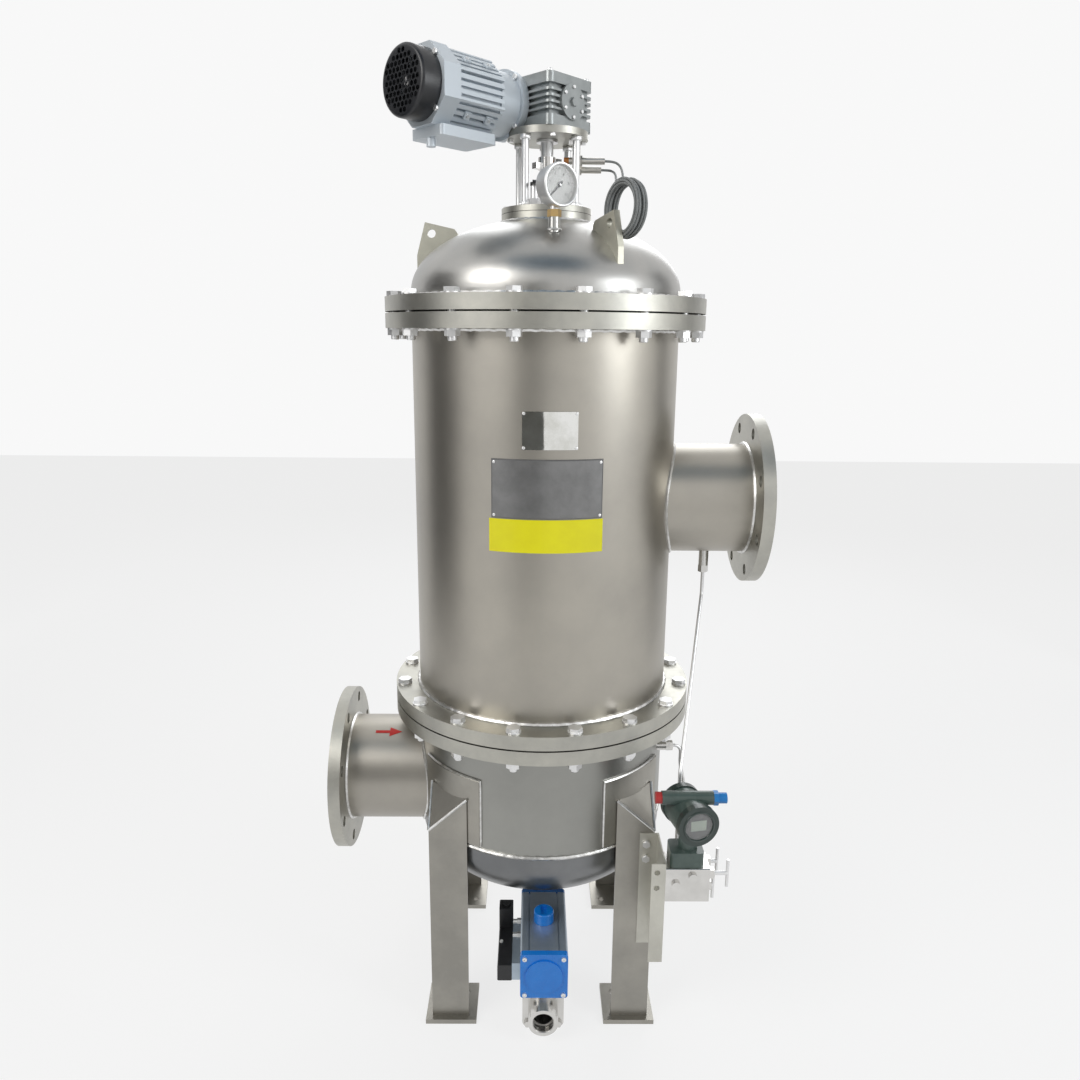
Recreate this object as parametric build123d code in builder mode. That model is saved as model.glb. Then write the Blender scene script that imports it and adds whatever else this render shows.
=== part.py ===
from build123d import *
from math import atan2, cos, degrees, hypot, pi, radians, sin, sqrt, tan
import os

os.makedirs("parts", exist_ok=True)

# Clearances
running_fit = 0.05
near_gap = 0.35
free_gap = 1.0

# Vessel: two shells between dished ends
shell_inner = 250.0
shell_wall = 8.0
shell_outer = shell_inner + shell_wall
head_depth = 127.0
head_outer_depth = head_depth + shell_wall
bottom_tangent_z = 376.0
bottom_straight = 25.0
lower_weld_z = bottom_tangent_z + bottom_straight
lower_shell_length = 250.0
lower_seam_z = lower_weld_z + lower_shell_length
upper_shell_length = 772.0
upper_seam_z = lower_seam_z + upper_shell_length
cover_straight = 37.0

# Body flanges, gaskets and bolts
body_flange_radius = 307.5
body_flange_thickness = 27.0
body_gasket_thickness = 3.0
body_gasket_outer = 279.0
body_bolt_circle = 290.0
body_bolt_count = 16
body_bolt_phase = 11.65
body_bolt_hole = 9.0
bolt_radius = 8.0
bolt_head_flats = 24.0
bolt_head_height = 10.0
bolt_nut_height = 13.0
bolt_end = 6.0
half_gasket = body_gasket_thickness / 2
cover_tangent_z = upper_seam_z + half_gasket + cover_straight

# Nozzles: steel pipe and slip-on flange, outlet on the right and inlet on the left
nozzle_radius = 109.55
nozzle_wall = 8.0
nozzle_bore = nozzle_radius - nozzle_wall
nozzle_face_x = 430.0
nozzle_pipe_setback = 6.0
nozzle_flange_radius = 170.0
nozzle_flange_thickness = 24.0
nozzle_bolt_circle = 147.5
nozzle_bolt_count = 8
nozzle_bolt_hole = 11.0
outlet_z = 1064.0
inlet_z = 461.0

# Legs, their plates and their pads
base_plate_size = 104.0
base_plate_thickness = 10.0
base_plate_centre = 183.0
anchor_offset = 156.0
anchor_hole = 7.0
leg_corner = 222.0
leg_width = 75.0
leg_thickness = 8.0
leg_toe_z = 503.5
leg_cap_drop = 65.5
leg_cap_thickness = 6.0
leg_pad_thickness = 6.0
leg_pad_bottom_z = 410.0
leg_pad_height = 139.0
leg_pad_span = 35.0

# Lifting lugs on the cover
lug_angles = (180, -60, 60)
lug_thickness = 12.0
lug_inner_radius = 168.0
lug_top_radius = 230.0
lug_outer_radius = 246.0
lug_top_z = 1590.0
lug_shoulder_drop = 20.0
lug_hole_radius = 8.0
lug_hole_reach = 218.0
lug_hole_z = 1570.0

# Screen basket, its ledge and the bottom bearing
ledge_inner = 190.0
ledge_z = 690.0
ledge_thickness = 10.0
basket_inner = 200.0
basket_wall = 3.0
basket_height = 693.0
basket_foot_radius = 232.0
basket_ring_thickness = 5.0
basket_columns = 12
basket_rows = 6
basket_window_width = 78.0
basket_window_height = 92.0
spider_ring_inner = 186.0
spider_thickness = 8.0
spider_arm_width = 14.0
spider_arms = 3
bearing_hub_radius = 24.0
bearing_height = 28.0

# Vertical shaft and brush rotor
shaft_radius = 12.0
shaft_foot_lift = 4.0
brush_sleeve_radius = 20.0
brush_arm_width = 16.0
brush_arm_height = 30.0
brush_holder_reach = 170.0
brush_holder_thickness = 8.0
brush_holder_width = 30.0
brush_width = 12.0
brush_count = 2
brush_gap = 0.5
brush_end_gap = 12.0

# Pad flange, drive base flange and shaft seal
pad_flange_radius = 85.0
pad_flange_bottom_z = 1575.0
pad_flange_thickness = 28.0
drive_gasket_thickness = 1.0
drive_base_thickness = 10.0
seal_radius = 20.0
seal_height = 18.0
shaft_passage = 14.0

# Stand under the gearbox
stand_rod_radius = 6.5
stand_rod_reach = 66.0
stand_rod_phase = -37.4
stand_height = 122.0
top_plate_radius = 76.0
top_plate_thickness = 12.0
plate_screw_reach = 68.0
plate_screw_phase = 7.6
plate_screw_radius = 5.0
plate_screw_height = 5.0
collar_radius = 20.0
collar_height = 4.0
cam_hub_radius = 17.0
cam_reach = 29.0
cam_bottom_z = 1685.0
cam_height = 21.0
cam_lug_width = 14.0
cam_lower_angle = 215.0
cam_upper_angle = 35.0

# Worm gearbox: the motor lies along the direction of drive_turn
drive_turn = 225.0
gear_half_length = 57.5
gear_front = 61.0
gear_back = -84.0
gear_height = 87.0
gear_plate = 18.0
gear_core_inset = 8.0
gear_fin_count = 4
gear_fin_thickness = 4.0
gear_corner = 10.0
centre_distance = 50.0
wheel_radius = 32.5
wheel_width = 22.0
wheel_room = 3.0
worm_radius = 17.0
worm_length = 56.0
worm_room = 2.0
worm_shaft_radius = 7.0
worm_shaft_back = 42.0
gear_cover_radius = 35.0
gear_cover_thickness = 4.0
oil_plug_radius = 8.0
oil_plug_length = 5.0
side_cover_radius = 30.0
side_cover_thickness = 4.0

# Motor, measured along its axis from the worm's middle
adapter_radius = 60.0
adapter_length = 14.5
shield_radius = 54.0
shield_end = 117.0
frame_end = 219.0
frame_flats = 120.0
frame_groove_count = 32
frame_groove_width = 5.0
frame_groove_depth = 9.0
rear_shield_flats = 126.0
rear_shield_end = 255.0
fan_cover_radius = 57.0
fan_cover_wall = 1.5
fan_cover_end = 294.0
grille_slot_count = 12
grille_slot_reach = 32.0
grille_slot_length = 28.0
grille_slot_width = 6.0
fan_radius = 49.0
fan_hub_radius = 12.0
fan_width = 20.0
fan_blade_count = 6
fan_blade_thickness = 2.5
fan_end_gap = 8.0
box_start = 120.0
box_end = 245.0
box_width = 84.0
box_depth = 20.0
box_corner = 6.0
box_gland_place = 235.0
box_gland_radius = 8.0
box_gland_length = 14.0

# Proximity sensors and their bracket
sensor_radius = 6.0
sensor_tip_x = 31.0
sensor_upper_y = -14.0
sensor_upper_z = 1699.0
sensor_upper_length = 76.0
sensor_lower_y = 6.0
sensor_lower_z = 1687.0
sensor_lower_length = 71.0
sensor_nut_flats = 17.0
sensor_nut_width = 4.0
sensor_bracket_x = 58.0
sensor_bracket_thickness = 3.0
sensor_bracket_front_y = -24.0
sensor_bracket_width = 40.0
sensor_bracket_bottom_z = 1676.0
sensor_bracket_foot = 18.0

# Sensor leads: hand-laid routes, and coils hung behind the front right lug
lead_radius = 2.2
lead_upper_route = (
    (107.0, -14.0, 1699.0), (122.0, -14.0, 1699.0), (133.0, -21.5, 1692.5), (137.0, -38.0, 1681.0),
    (137.0, -66.0, 1664.0), (131.0, -104.0, 1641.0), (121.0, -134.0, 1618.0), (114.9, -146.1, 1592.0),
)
lead_lower_route = (
    (102.0, 6.0, 1687.0), (116.0, 6.0, 1687.0), (125.0, -0.5, 1683.5), (128.0, -14.0, 1676.0),
    (127.0, -40.0, 1661.0), (121.0, -80.0, 1639.0), (111.0, -126.0, 1614.0), (103.2, -152.9, 1592.0),
)
coil_lug_angle = -60.0
coil_reach = 228.0
coil_z = 1594.0
coil_radius = 44.0
coil_section = 6.6
coil_gap = 0.3

# Pressure gauge on the cover
gauge_x = 11.0
gauge_y = -176.0
gauge_turn = 35.0
gauge_centre_z = 1630.0
gauge_case_radius = 33.0
gauge_bezel_radius = 35.5
gauge_bezel_depth = 8.0
gauge_depth = 28.0
gauge_front = 19.5
gauge_recess_radius = 31.0
gauge_recess_depth = 7.0
gauge_pin_radius = 1.5
gauge_pin_length = 4.5
gauge_stem_radius = 7.0
gauge_boss_radius = 10.0
gauge_boss_top_z = 1580.0
gauge_nut_flats = 21.0
gauge_nut_height = 12.0
gauge_bore = 3.0
pointer_length = 25.0
pointer_tail = 8.0
pointer_root_width = 4.0
pointer_tip_width = 1.2
pointer_thickness = 1.2
pointer_hub_radius = 4.0
pointer_angle = 225.0

# Vent cock on the drive base flange
vent_x = -23.0
vent_y = -56.0
vent_nut_flats = 20.0
vent_nut_height = 12.0
vent_body_radius = 7.5
vent_body_height = 22.0
vent_pin_radius = 3.0
vent_pin_height = 8.0
vent_lever_hub_radius = 8.0
vent_lever_height = 6.0
vent_lever_length = 26.0
vent_lever_width = 7.0

# Drain pipe and ball valve
drain_x = 6.0
drain_radius = 24.15
drain_wall = 2.6
drain_z = 52.0
drain_bend = 57.0
valve_inlet_y = -140.0
valve_y = -215.0
valve_half_length = 75.0
valve_body_radius = 38.0
valve_body_half = 26.0
valve_square = 84.0
valve_square_corner = 14.0
valve_square_thickness = 13.0
valve_end_radius = 30.0
valve_bore = 20.0
valve_thread_radius = 22.4
valve_thread_depth = 20.0
valve_bolt_reach = 31.0
valve_bolt_flats = 13.0
valve_bolt_height = 6.0
ball_radius = 30.0
ball_room = 0.4
stem_radius = 9.0
pad_block = 50.0

# Air actuator on the ball valve
actuator_bottom_z = 135.0
actuator_height = 97.0
actuator_width = 92.0
actuator_length = 178.0
actuator_bore = 34.0
actuator_corner = 6.0
actuator_strip = 58.0
actuator_groove = 3.0
cap_thickness = 12.0
cap_boss_radius = 36.0
cap_boss_height = 3.0
piston_thickness = 14.0
piston_start = 25.0
pinion_radius = 12.0
pinion_height = 34.0
rack_thickness = 8.0
rack_height = 16.0
rack_reach = 22.0
indicator_radius = 20.0
indicator_height = 23.0
indicator_bar = 12.0
side_pad_depth = 17.0
side_pad_height = 38.0
side_pad_length = 120.0

# Solenoid valve and air fittings
solenoid_width = 29.0
solenoid_front_y = -270.0
solenoid_length = 129.0
solenoid_height = 35.0
solenoid_corner = 3.0
coil_block_length = 32.0
coil_block_height = 45.0
coil_block_start_y = -160.0
coil_nut_radius = 9.0
coil_nut_height = 4.0
button_x = -80.0
button_y = -202.0
button_radius = 3.5
button_height = 3.0
button_travel = 1.5
button_room = 8.0
fitting_radius = 7.0
fitting_length = 8.0
fitting_ring_radius = 5.0
fitting_ring_length = 8.0
fitting_z = 210.0
fitting_ys = (-191.0, -232.0)

# Transmitter bracket: a bent channel on the front right leg
bracket_web_x = 228.0
bracket_sheet = 2.5
bracket_front_y = -320.0
bracket_top_z = 435.0
bracket_bottom_z = 187.0
bracket_front_top_z = 431.0
bracket_front_bottom_z = 220.0
bracket_rear_width = 37.0
bracket_front_width = 27.0
bracket_hole_inset = 22.0
bracket_hole_radius = 5.5
bracket_hole_zs = (381.0, 413.0)

# Valve manifold
manifold_length = 84.0
manifold_front_y = -315.0
manifold_depth = 60.0
manifold_bottom_z = 347.0
manifold_height = 70.0
manifold_corner = 4.0
bonnet_flats = 18.0
bonnet_length = 10.0
handle_stem_radius = 4.0
handle_seat_depth = 6.0
handle_bar_radius = 3.0
handle_bar_half = 28.0
handle_places = ((-300.0, 400.0, 350.0), (-262.0, 400.0, 338.0), (-281.0, 362.0, 328.5))
front_bonnet_radius = 8.0
front_bonnet_length = 6.0
front_bonnet_places = ((282.0, 402.0), (251.0, 385.0))

# Pressure transmitter
capsule_x = 240.0
capsule_width = 63.0
capsule_depth = 50.0
capsule_height = 30.0
transmitter_y = -285.0
neck_radius = 18.0
housing_x = 275.0
housing_z = 515.0
housing_turn = 13.0
housing_radius = 37.0
housing_half_length = 32.0
housing_cover_radius = 39.5
housing_cover_length = 14.0
window_radius = 27.0
window_depth = 3.0
conduit_z = 548.0
conduit_radius = 13.0
conduit_left_x = 222.0
conduit_length = 96.0
plug_radius = 11.0
plug_length = 12.0
gland_flats = 24.0
gland_flange_length = 9.0
gland_radius = 10.0
gland_length = 16.0

# Pressure taps and impulse tubes
tap_radius = 10.0
tap_nut_flats = 18.0
tap_nut_length = 14.0
tap_length = 47.0
outlet_tap_x = 334.0
shell_tap_y = -90.0
shell_tap_z = 556.0
shell_tap_length = 14.0
tube_radius = 3.5
tube_bend = 14.0
tube_rear_y = -222.0
tube_port_z = 382.0
high_tube_x = 290.0
low_tube_x = 266.0
drop_start_z = 566.0
outlet_tube_turn_z = 860.0
shell_tube_turn_x = 290.0
shell_tube_drop_z = 516.0

# Places worked out from the sizes above
lower_flange_z = lower_seam_z - half_gasket - body_flange_thickness
upper_flange_z = upper_seam_z - half_gasket - body_flange_thickness
flange_bottoms = (
    lower_flange_z, lower_seam_z + half_gasket,
    upper_flange_z, upper_seam_z + half_gasket,
)
pad_flange_top_z = pad_flange_bottom_z + pad_flange_thickness
drive_base_z = pad_flange_top_z + drive_gasket_thickness
stand_foot_z = drive_base_z + drive_base_thickness
top_plate_z = stand_foot_z + stand_height
gear_bottom_z = top_plate_z + top_plate_thickness
gear_top_z = gear_bottom_z + gear_height
worm_z = gear_bottom_z + gear_height / 2
drive_x = cos(radians(drive_turn))
drive_y = sin(radians(drive_turn))
side_x = -drive_y
side_y = drive_x
worm_x = -centre_distance * side_x
worm_y = -centre_distance * side_y
shelf_z = ledge_z + ledge_thickness
basket_outer = basket_inner + basket_wall
basket_top_z = shelf_z + basket_height
bearing_top_z = shelf_z + bearing_height
actuator_top_z = actuator_bottom_z + actuator_height
piston_z = actuator_bottom_z + actuator_height / 2
actuator_left_x = drain_x - actuator_width / 2
solenoid_right_x = actuator_left_x - side_pad_depth
valve_outlet_y = valve_y - valve_half_length
bracket_face_x = bracket_web_x + bracket_sheet
manifold_right_x = bracket_face_x + manifold_length
manifold_rear_y = manifold_front_y + manifold_depth
manifold_top_z = manifold_bottom_z + manifold_height
capsule_top_z = manifold_top_z + capsule_height


def radial_plane(angle):
    """Upright plane through the vessel's axis, its x pointing out at the angle and its y up."""
    turn = radians(angle)
    return Plane(origin=(0, 0, 0), x_dir=(cos(turn), sin(turn), 0), z_dir=(sin(turn), -cos(turn), 0))


def nozzle_plane(side, height, reach):
    """Upright plane across a nozzle, facing the vessel."""
    return Plane(origin=(side * reach, 0, height), x_dir=(0, 1, 0), z_dir=(-side, 0, 0))


def gear_plane(height):
    """Level plane with its x along the motor's direction."""
    return Plane(origin=(0, 0, height), x_dir=(drive_x, drive_y, 0), z_dir=(0, 0, 1))


def motor_plane(reach):
    """Plane across the motor's axis, its y up, at a distance from the worm's middle."""
    place = (worm_x + reach * drive_x, worm_y + reach * drive_y, worm_z)
    return Plane(origin=place, x_dir=(side_x, side_y, 0), z_dir=(drive_x, drive_y, 0))


def box_plane(height):
    """Level plane above the motor's axis, its x along that axis from the worm's middle."""
    return Plane(origin=(worm_x, worm_y, height), x_dir=(drive_x, drive_y, 0), z_dir=(0, 0, 1))


def corner_radii(points):
    """Radius of each bend of a lead: as large as the two runs beside it allow."""
    radii = []
    for before, corner, after in zip(points, points[1:], points[2:]):
        come = Vector(*corner) - Vector(*before)
        leave = Vector(*after) - Vector(*corner)
        half_turn = radians(come.get_angle(leave) / 2)
        radii.append(0.45 * min(come.length, leave.length) / tan(half_turn))
    return radii


def dished_section(tangent_z, edge_z, upward):
    """Half section of a dished end with its straight edge."""
    with BuildSketch(Plane.XZ) as section:
        with Locations((0, tangent_z)):
            Ellipse(shell_outer, head_outer_depth)
            Ellipse(shell_inner, head_depth, mode=Mode.SUBTRACT)
        with Locations((shell_outer / 2, tangent_z + upward * head_outer_depth / 2)):
            Rectangle(shell_outer, head_outer_depth, mode=Mode.INTERSECT)
        with Locations(((shell_inner + shell_outer) / 2, (tangent_z + edge_z) / 2)):
            Rectangle(shell_wall, abs(edge_z - tangent_z))
    return section.sketch


# Outer form of the closed vessel, used to trim what is welded on it
with BuildPart() as vessel_form:
    with BuildSketch(Plane.XZ):
        with Locations((0, bottom_tangent_z), (0, cover_tangent_z)):
            Ellipse(shell_outer, head_outer_depth)
        with Locations((0, (bottom_tangent_z + cover_tangent_z) / 2)):
            Rectangle(2 * shell_outer, cover_tangent_z - bottom_tangent_z)
        with Locations((shell_outer, (bottom_tangent_z + cover_tangent_z) / 2)):
            Rectangle(2 * shell_outer, cover_tangent_z + 2 * head_outer_depth, mode=Mode.INTERSECT)
    revolve(axis=Axis.Z)

# Base plates with anchor holes, and the pads between legs and vessel
with BuildPart() as leg_plates:
    with BuildSketch():
        with GridLocations(2 * base_plate_centre, 2 * base_plate_centre, 2, 2):
            Rectangle(base_plate_size, base_plate_size)
        with GridLocations(2 * anchor_offset, 2 * anchor_offset, 2, 2):
            Circle(anchor_hole, mode=Mode.SUBTRACT)
    extrude(amount=base_plate_thickness)
    for corner in range(4):
        with BuildSketch(radial_plane(45 + 90 * corner - leg_pad_span / 2)):
            with Locations((shell_outer + leg_pad_thickness / 2, leg_pad_bottom_z + leg_pad_height / 2)):
                Rectangle(leg_pad_thickness, leg_pad_height)
        revolve(axis=Axis.Z, revolution_arc=leg_pad_span)
leg_plates.part.label = "leg_plates"
export_step(leg_plates.part, "parts/leg_plates.step")

# Legs: equal angles with a sloping cap plate welded across the upper end
leg_height = leg_toe_z - base_plate_thickness
leg_inset = leg_width / 2
cap_slope = atan2(leg_cap_drop, leg_inset * sqrt(2))
cap_plane = Plane(
    origin=(leg_corner, leg_corner, leg_toe_z - leg_cap_drop),
    x_dir=(1, -1, 0),
    z_dir=(sin(cap_slope) / sqrt(2), sin(cap_slope) / sqrt(2), cos(cap_slope)),
)
with BuildPart() as leg_cap:
    with BuildSketch(Plane.XY.offset(base_plate_thickness)):
        with BuildLine():
            Polyline(
                (leg_corner, leg_corner), (leg_corner - leg_width, leg_corner),
                (leg_corner, leg_corner - leg_width), close=True,
            )
        make_face()
    extrude(amount=leg_height)
    split(bisect_by=cap_plane, keep=Keep.BOTTOM)
    split(bisect_by=cap_plane.offset(-leg_cap_thickness), keep=Keep.TOP)

with BuildPart() as legs:
    with BuildSketch(Plane.XY.offset(base_plate_thickness)):
        with Locations((leg_corner - leg_width / 2, leg_corner - leg_width / 2)):
            Rectangle(leg_width, leg_width)
        leg_hollow = leg_width - leg_thickness
        leg_hollow_centre = leg_corner - leg_thickness - leg_hollow / 2
        with Locations((leg_hollow_centre, leg_hollow_centre)):
            Rectangle(leg_hollow, leg_hollow, mode=Mode.SUBTRACT)
    extrude(amount=leg_height)
    split(bisect_by=cap_plane, keep=Keep.BOTTOM)
    add(leg_cap.part)
    with BuildSketch(Plane.XY.offset(leg_pad_bottom_z)):
        Circle(shell_outer + leg_pad_thickness)
    extrude(amount=leg_pad_height, mode=Mode.SUBTRACT)
    mirror(about=Plane.XZ)
    mirror(about=Plane.YZ)
legs.part.label = "legs"
export_step(legs.part, "parts/legs.step")

# Bottom head with the drain hole and its share of the inlet hole
with BuildPart() as bottom_head:
    revolve(dished_section(bottom_tangent_z, lower_weld_z, -1), axis=Axis.Z)
    with BuildSketch(Plane.XY.offset(bottom_tangent_z - head_outer_depth)):
        with Locations((drain_x, 0)):
            Circle(drain_radius)
    extrude(amount=2 * shell_wall, mode=Mode.SUBTRACT)
    with BuildSketch(nozzle_plane(-1, inlet_z, nozzle_face_x)):
        Circle(nozzle_bore)
    extrude(amount=nozzle_face_x, mode=Mode.SUBTRACT)
bottom_head.part.label = "bottom_head"
export_step(bottom_head.part, "parts/bottom_head.step")

# Lower shell with the inlet hole and the hole of the pressure tap
with BuildPart() as lower_shell:
    with BuildSketch(Plane.XY.offset(lower_weld_z)):
        Circle(shell_outer)
        Circle(shell_inner, mode=Mode.SUBTRACT)
    extrude(amount=lower_shell_length - half_gasket)
    with BuildSketch(nozzle_plane(-1, inlet_z, nozzle_face_x)):
        Circle(nozzle_bore)
    extrude(amount=nozzle_face_x, mode=Mode.SUBTRACT)
    with BuildSketch(Plane.YZ):
        with Locations((shell_tap_y, shell_tap_z)):
            Circle(tube_radius)
    extrude(amount=shell_outer + shell_wall, mode=Mode.SUBTRACT)
lower_shell.part.label = "lower_shell"
export_step(lower_shell.part, "parts/lower_shell.step")

# Upper shell with the outlet hole and the ledge that carries the screen basket
with BuildPart() as upper_shell:
    with BuildSketch(Plane.XY.offset(lower_seam_z + half_gasket)):
        Circle(shell_outer)
        Circle(shell_inner, mode=Mode.SUBTRACT)
    extrude(amount=upper_shell_length - body_gasket_thickness)
    with BuildSketch(Plane.XY.offset(ledge_z)):
        Circle(shell_inner)
        Circle(ledge_inner, mode=Mode.SUBTRACT)
    extrude(amount=ledge_thickness)
    with BuildSketch(nozzle_plane(1, outlet_z, nozzle_face_x)):
        Circle(nozzle_bore)
    extrude(amount=nozzle_face_x, mode=Mode.SUBTRACT)
upper_shell.part.label = "upper_shell"
export_step(upper_shell.part, "parts/upper_shell.step")

# Domed cover with the holes of the pad flange and of the gauge boss
with BuildPart() as cover_head:
    revolve(dished_section(cover_tangent_z, upper_seam_z + half_gasket, 1), axis=Axis.Z)
    with BuildSketch(Plane.XY.offset(cover_tangent_z)):
        Circle(pad_flange_radius)
        with Locations((gauge_x, gauge_y)):
            Circle(gauge_bore)
    extrude(amount=head_outer_depth, mode=Mode.SUBTRACT)
cover_head.part.label = "cover_head"
export_step(cover_head.part, "parts/cover_head.step")

# Body flanges: two pairs of slip-on rings
with BuildPart() as body_flanges:
    for flange_z in flange_bottoms:
        with BuildSketch(Plane.XY.offset(flange_z)):
            Circle(body_flange_radius)
            Circle(shell_outer, mode=Mode.SUBTRACT)
            with PolarLocations(body_bolt_circle, body_bolt_count, start_angle=body_bolt_phase):
                Circle(body_bolt_hole, mode=Mode.SUBTRACT)
        extrude(amount=body_flange_thickness)
body_flanges.part.label = "body_flanges"
export_step(body_flanges.part, "parts/body_flanges.step")

# Ring gaskets of the body flanges and of the drive flange
with BuildPart() as gaskets:
    for seam_z in (lower_seam_z, upper_seam_z):
        with BuildSketch(Plane.XY.offset(seam_z - half_gasket)):
            Circle(body_gasket_outer)
            Circle(shell_inner, mode=Mode.SUBTRACT)
        extrude(amount=body_gasket_thickness)
    with BuildSketch(Plane.XY.offset(pad_flange_top_z)):
        Circle(pad_flange_radius)
        Circle(seal_radius, mode=Mode.SUBTRACT)
    extrude(amount=drive_gasket_thickness)
gaskets.part.label = "gaskets"
export_step(gaskets.part, "parts/gaskets.step")

# Through bolts of the body flanges, heads up, with their nuts
with BuildPart() as flange_bolts:
    for seam_z in (lower_seam_z, upper_seam_z):
        joint_top = seam_z + half_gasket + body_flange_thickness
        joint_bottom = seam_z - half_gasket - body_flange_thickness
        with BuildSketch(Plane.XY.offset(joint_bottom - bolt_nut_height - bolt_end)):
            with PolarLocations(body_bolt_circle, body_bolt_count, start_angle=body_bolt_phase):
                Circle(bolt_radius)
        extrude(amount=joint_top - joint_bottom + bolt_nut_height + bolt_end)
        with BuildSketch(Plane.XY.offset(joint_top)):
            with PolarLocations(body_bolt_circle, body_bolt_count, start_angle=body_bolt_phase):
                RegularPolygon(bolt_head_flats / 2, 6, major_radius=False)
        extrude(amount=bolt_head_height)
        with BuildSketch(Plane.XY.offset(joint_bottom)):
            with PolarLocations(body_bolt_circle, body_bolt_count, start_angle=body_bolt_phase):
                RegularPolygon(bolt_head_flats / 2, 6, major_radius=False)
        extrude(amount=-bolt_nut_height)
flange_bolts.part.label = "flange_bolts"
export_step(flange_bolts.part, "parts/flange_bolts.step")

# Nozzle pipes, their ends cut to the round of the vessel
with BuildPart() as nozzle_pipes:
    for side, nozzle_z in ((1, outlet_z), (-1, inlet_z)):
        with BuildSketch(nozzle_plane(side, nozzle_z, nozzle_face_x - nozzle_pipe_setback)):
            Circle(nozzle_radius)
            Circle(nozzle_bore, mode=Mode.SUBTRACT)
        extrude(amount=nozzle_face_x - nozzle_pipe_setback - shell_outer / 2)
    add(vessel_form.part, mode=Mode.SUBTRACT)
nozzle_pipes.part.label = "nozzle_pipes"
export_step(nozzle_pipes.part, "parts/nozzle_pipes.step")

# Nozzle flanges with bolt holes that straddle the centre lines
with BuildPart() as nozzle_flanges:
    for side, nozzle_z in ((1, outlet_z), (-1, inlet_z)):
        with BuildSketch(nozzle_plane(side, nozzle_z, nozzle_face_x)):
            Circle(nozzle_flange_radius)
            Circle(nozzle_radius, mode=Mode.SUBTRACT)
            with PolarLocations(nozzle_bolt_circle, nozzle_bolt_count, start_angle=180 / nozzle_bolt_count):
                Circle(nozzle_bolt_hole, mode=Mode.SUBTRACT)
        extrude(amount=nozzle_flange_thickness)
nozzle_flanges.part.label = "nozzle_flanges"
export_step(nozzle_flanges.part, "parts/nozzle_flanges.step")

# Lifting lugs: radial plates welded on the cover
with BuildPart() as lifting_lugs:
    for lug_angle in lug_angles:
        with BuildSketch(radial_plane(lug_angle)):
            with BuildLine():
                Polyline(
                    (lug_inner_radius, cover_tangent_z),
                    (lug_inner_radius, lug_top_z - lug_shoulder_drop),
                    (lug_inner_radius + lug_thickness / 2, lug_top_z - lug_thickness),
                    (lug_top_radius, lug_top_z),
                    (lug_outer_radius, lug_hole_z - 2 * lug_shoulder_drop),
                    (lug_outer_radius, cover_tangent_z),
                    close=True,
                )
            make_face()
            fillet(vertices().sort_by(Axis.Z)[-1], lug_thickness / 2)
            with Locations((lug_hole_reach, lug_hole_z)):
                Circle(lug_hole_radius, mode=Mode.SUBTRACT)
        extrude(amount=lug_thickness / 2, both=True)
    add(vessel_form.part, mode=Mode.SUBTRACT)
lifting_lugs.part.label = "lifting_lugs"
export_step(lifting_lugs.part, "parts/lifting_lugs.step")

# Screen basket with rows of windows, standing on the ledge
with BuildPart() as screen_basket:
    with BuildSketch(Plane.XY.offset(shelf_z)):
        Circle(basket_outer)
        Circle(basket_inner, mode=Mode.SUBTRACT)
    extrude(amount=basket_height)
    with BuildSketch(Plane.XY.offset(shelf_z)):
        Circle(basket_foot_radius)
        Circle(basket_inner, mode=Mode.SUBTRACT)
    extrude(amount=basket_ring_thickness)
    with BuildSketch(Plane.XY.offset(basket_top_z)):
        Circle(shell_inner - near_gap)
        Circle(basket_inner, mode=Mode.SUBTRACT)
    extrude(amount=-basket_ring_thickness)
    for row in range(basket_rows):
        row_z = shelf_z + (row + 0.5) * basket_height / basket_rows
        with Locations((0, 0, row_z)):
            with PolarLocations(basket_outer - basket_wall / 2, basket_columns):
                Box(2 * basket_wall, basket_window_width, basket_window_height, mode=Mode.SUBTRACT)
screen_basket.part.label = "screen_basket"
export_step(screen_basket.part, "parts/screen_basket.step")

# Bottom bearing: a hub on three arms inside a ring that rests on the ledge
with BuildPart() as bottom_bearing:
    with BuildSketch(Plane.XY.offset(shelf_z)):
        Circle(basket_inner - near_gap)
        Circle(spider_ring_inner, mode=Mode.SUBTRACT)
        with PolarLocations(spider_ring_inner / 2, spider_arms):
            Rectangle(spider_ring_inner, spider_arm_width)
    extrude(amount=spider_thickness)
    with BuildSketch(Plane.XY.offset(shelf_z)):
        Circle(bearing_hub_radius)
    extrude(amount=bearing_height)
    with BuildSketch(Plane.XY.offset(shelf_z)):
        Circle(shaft_radius + running_fit)
    extrude(amount=bearing_height, mode=Mode.SUBTRACT)
bottom_bearing.part.label = "bottom_bearing"
export_step(bottom_bearing.part, "parts/bottom_bearing.step")

# Pad flange set in the cover, and the drive's base flange on it
with BuildPart() as drive_flanges:
    with BuildSketch(Plane.XY.offset(pad_flange_bottom_z)):
        Circle(pad_flange_radius)
        Circle(seal_radius, mode=Mode.SUBTRACT)
    extrude(amount=pad_flange_thickness)
    with BuildSketch(Plane.XY.offset(drive_base_z)):
        Circle(pad_flange_radius)
        Circle(shaft_passage, mode=Mode.SUBTRACT)
    extrude(amount=drive_base_thickness)
drive_flanges.part.label = "drive_flanges"
export_step(drive_flanges.part, "parts/drive_flanges.step")

# Shaft seal in the pad flange
with BuildPart() as shaft_seal:
    with BuildSketch(Plane.XY.offset(pad_flange_top_z)):
        Circle(seal_radius)
        Circle(shaft_radius + running_fit, mode=Mode.SUBTRACT)
    extrude(amount=-seal_height)
shaft_seal.part.label = "shaft_seal"
export_step(shaft_seal.part, "parts/shaft_seal.step")

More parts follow.
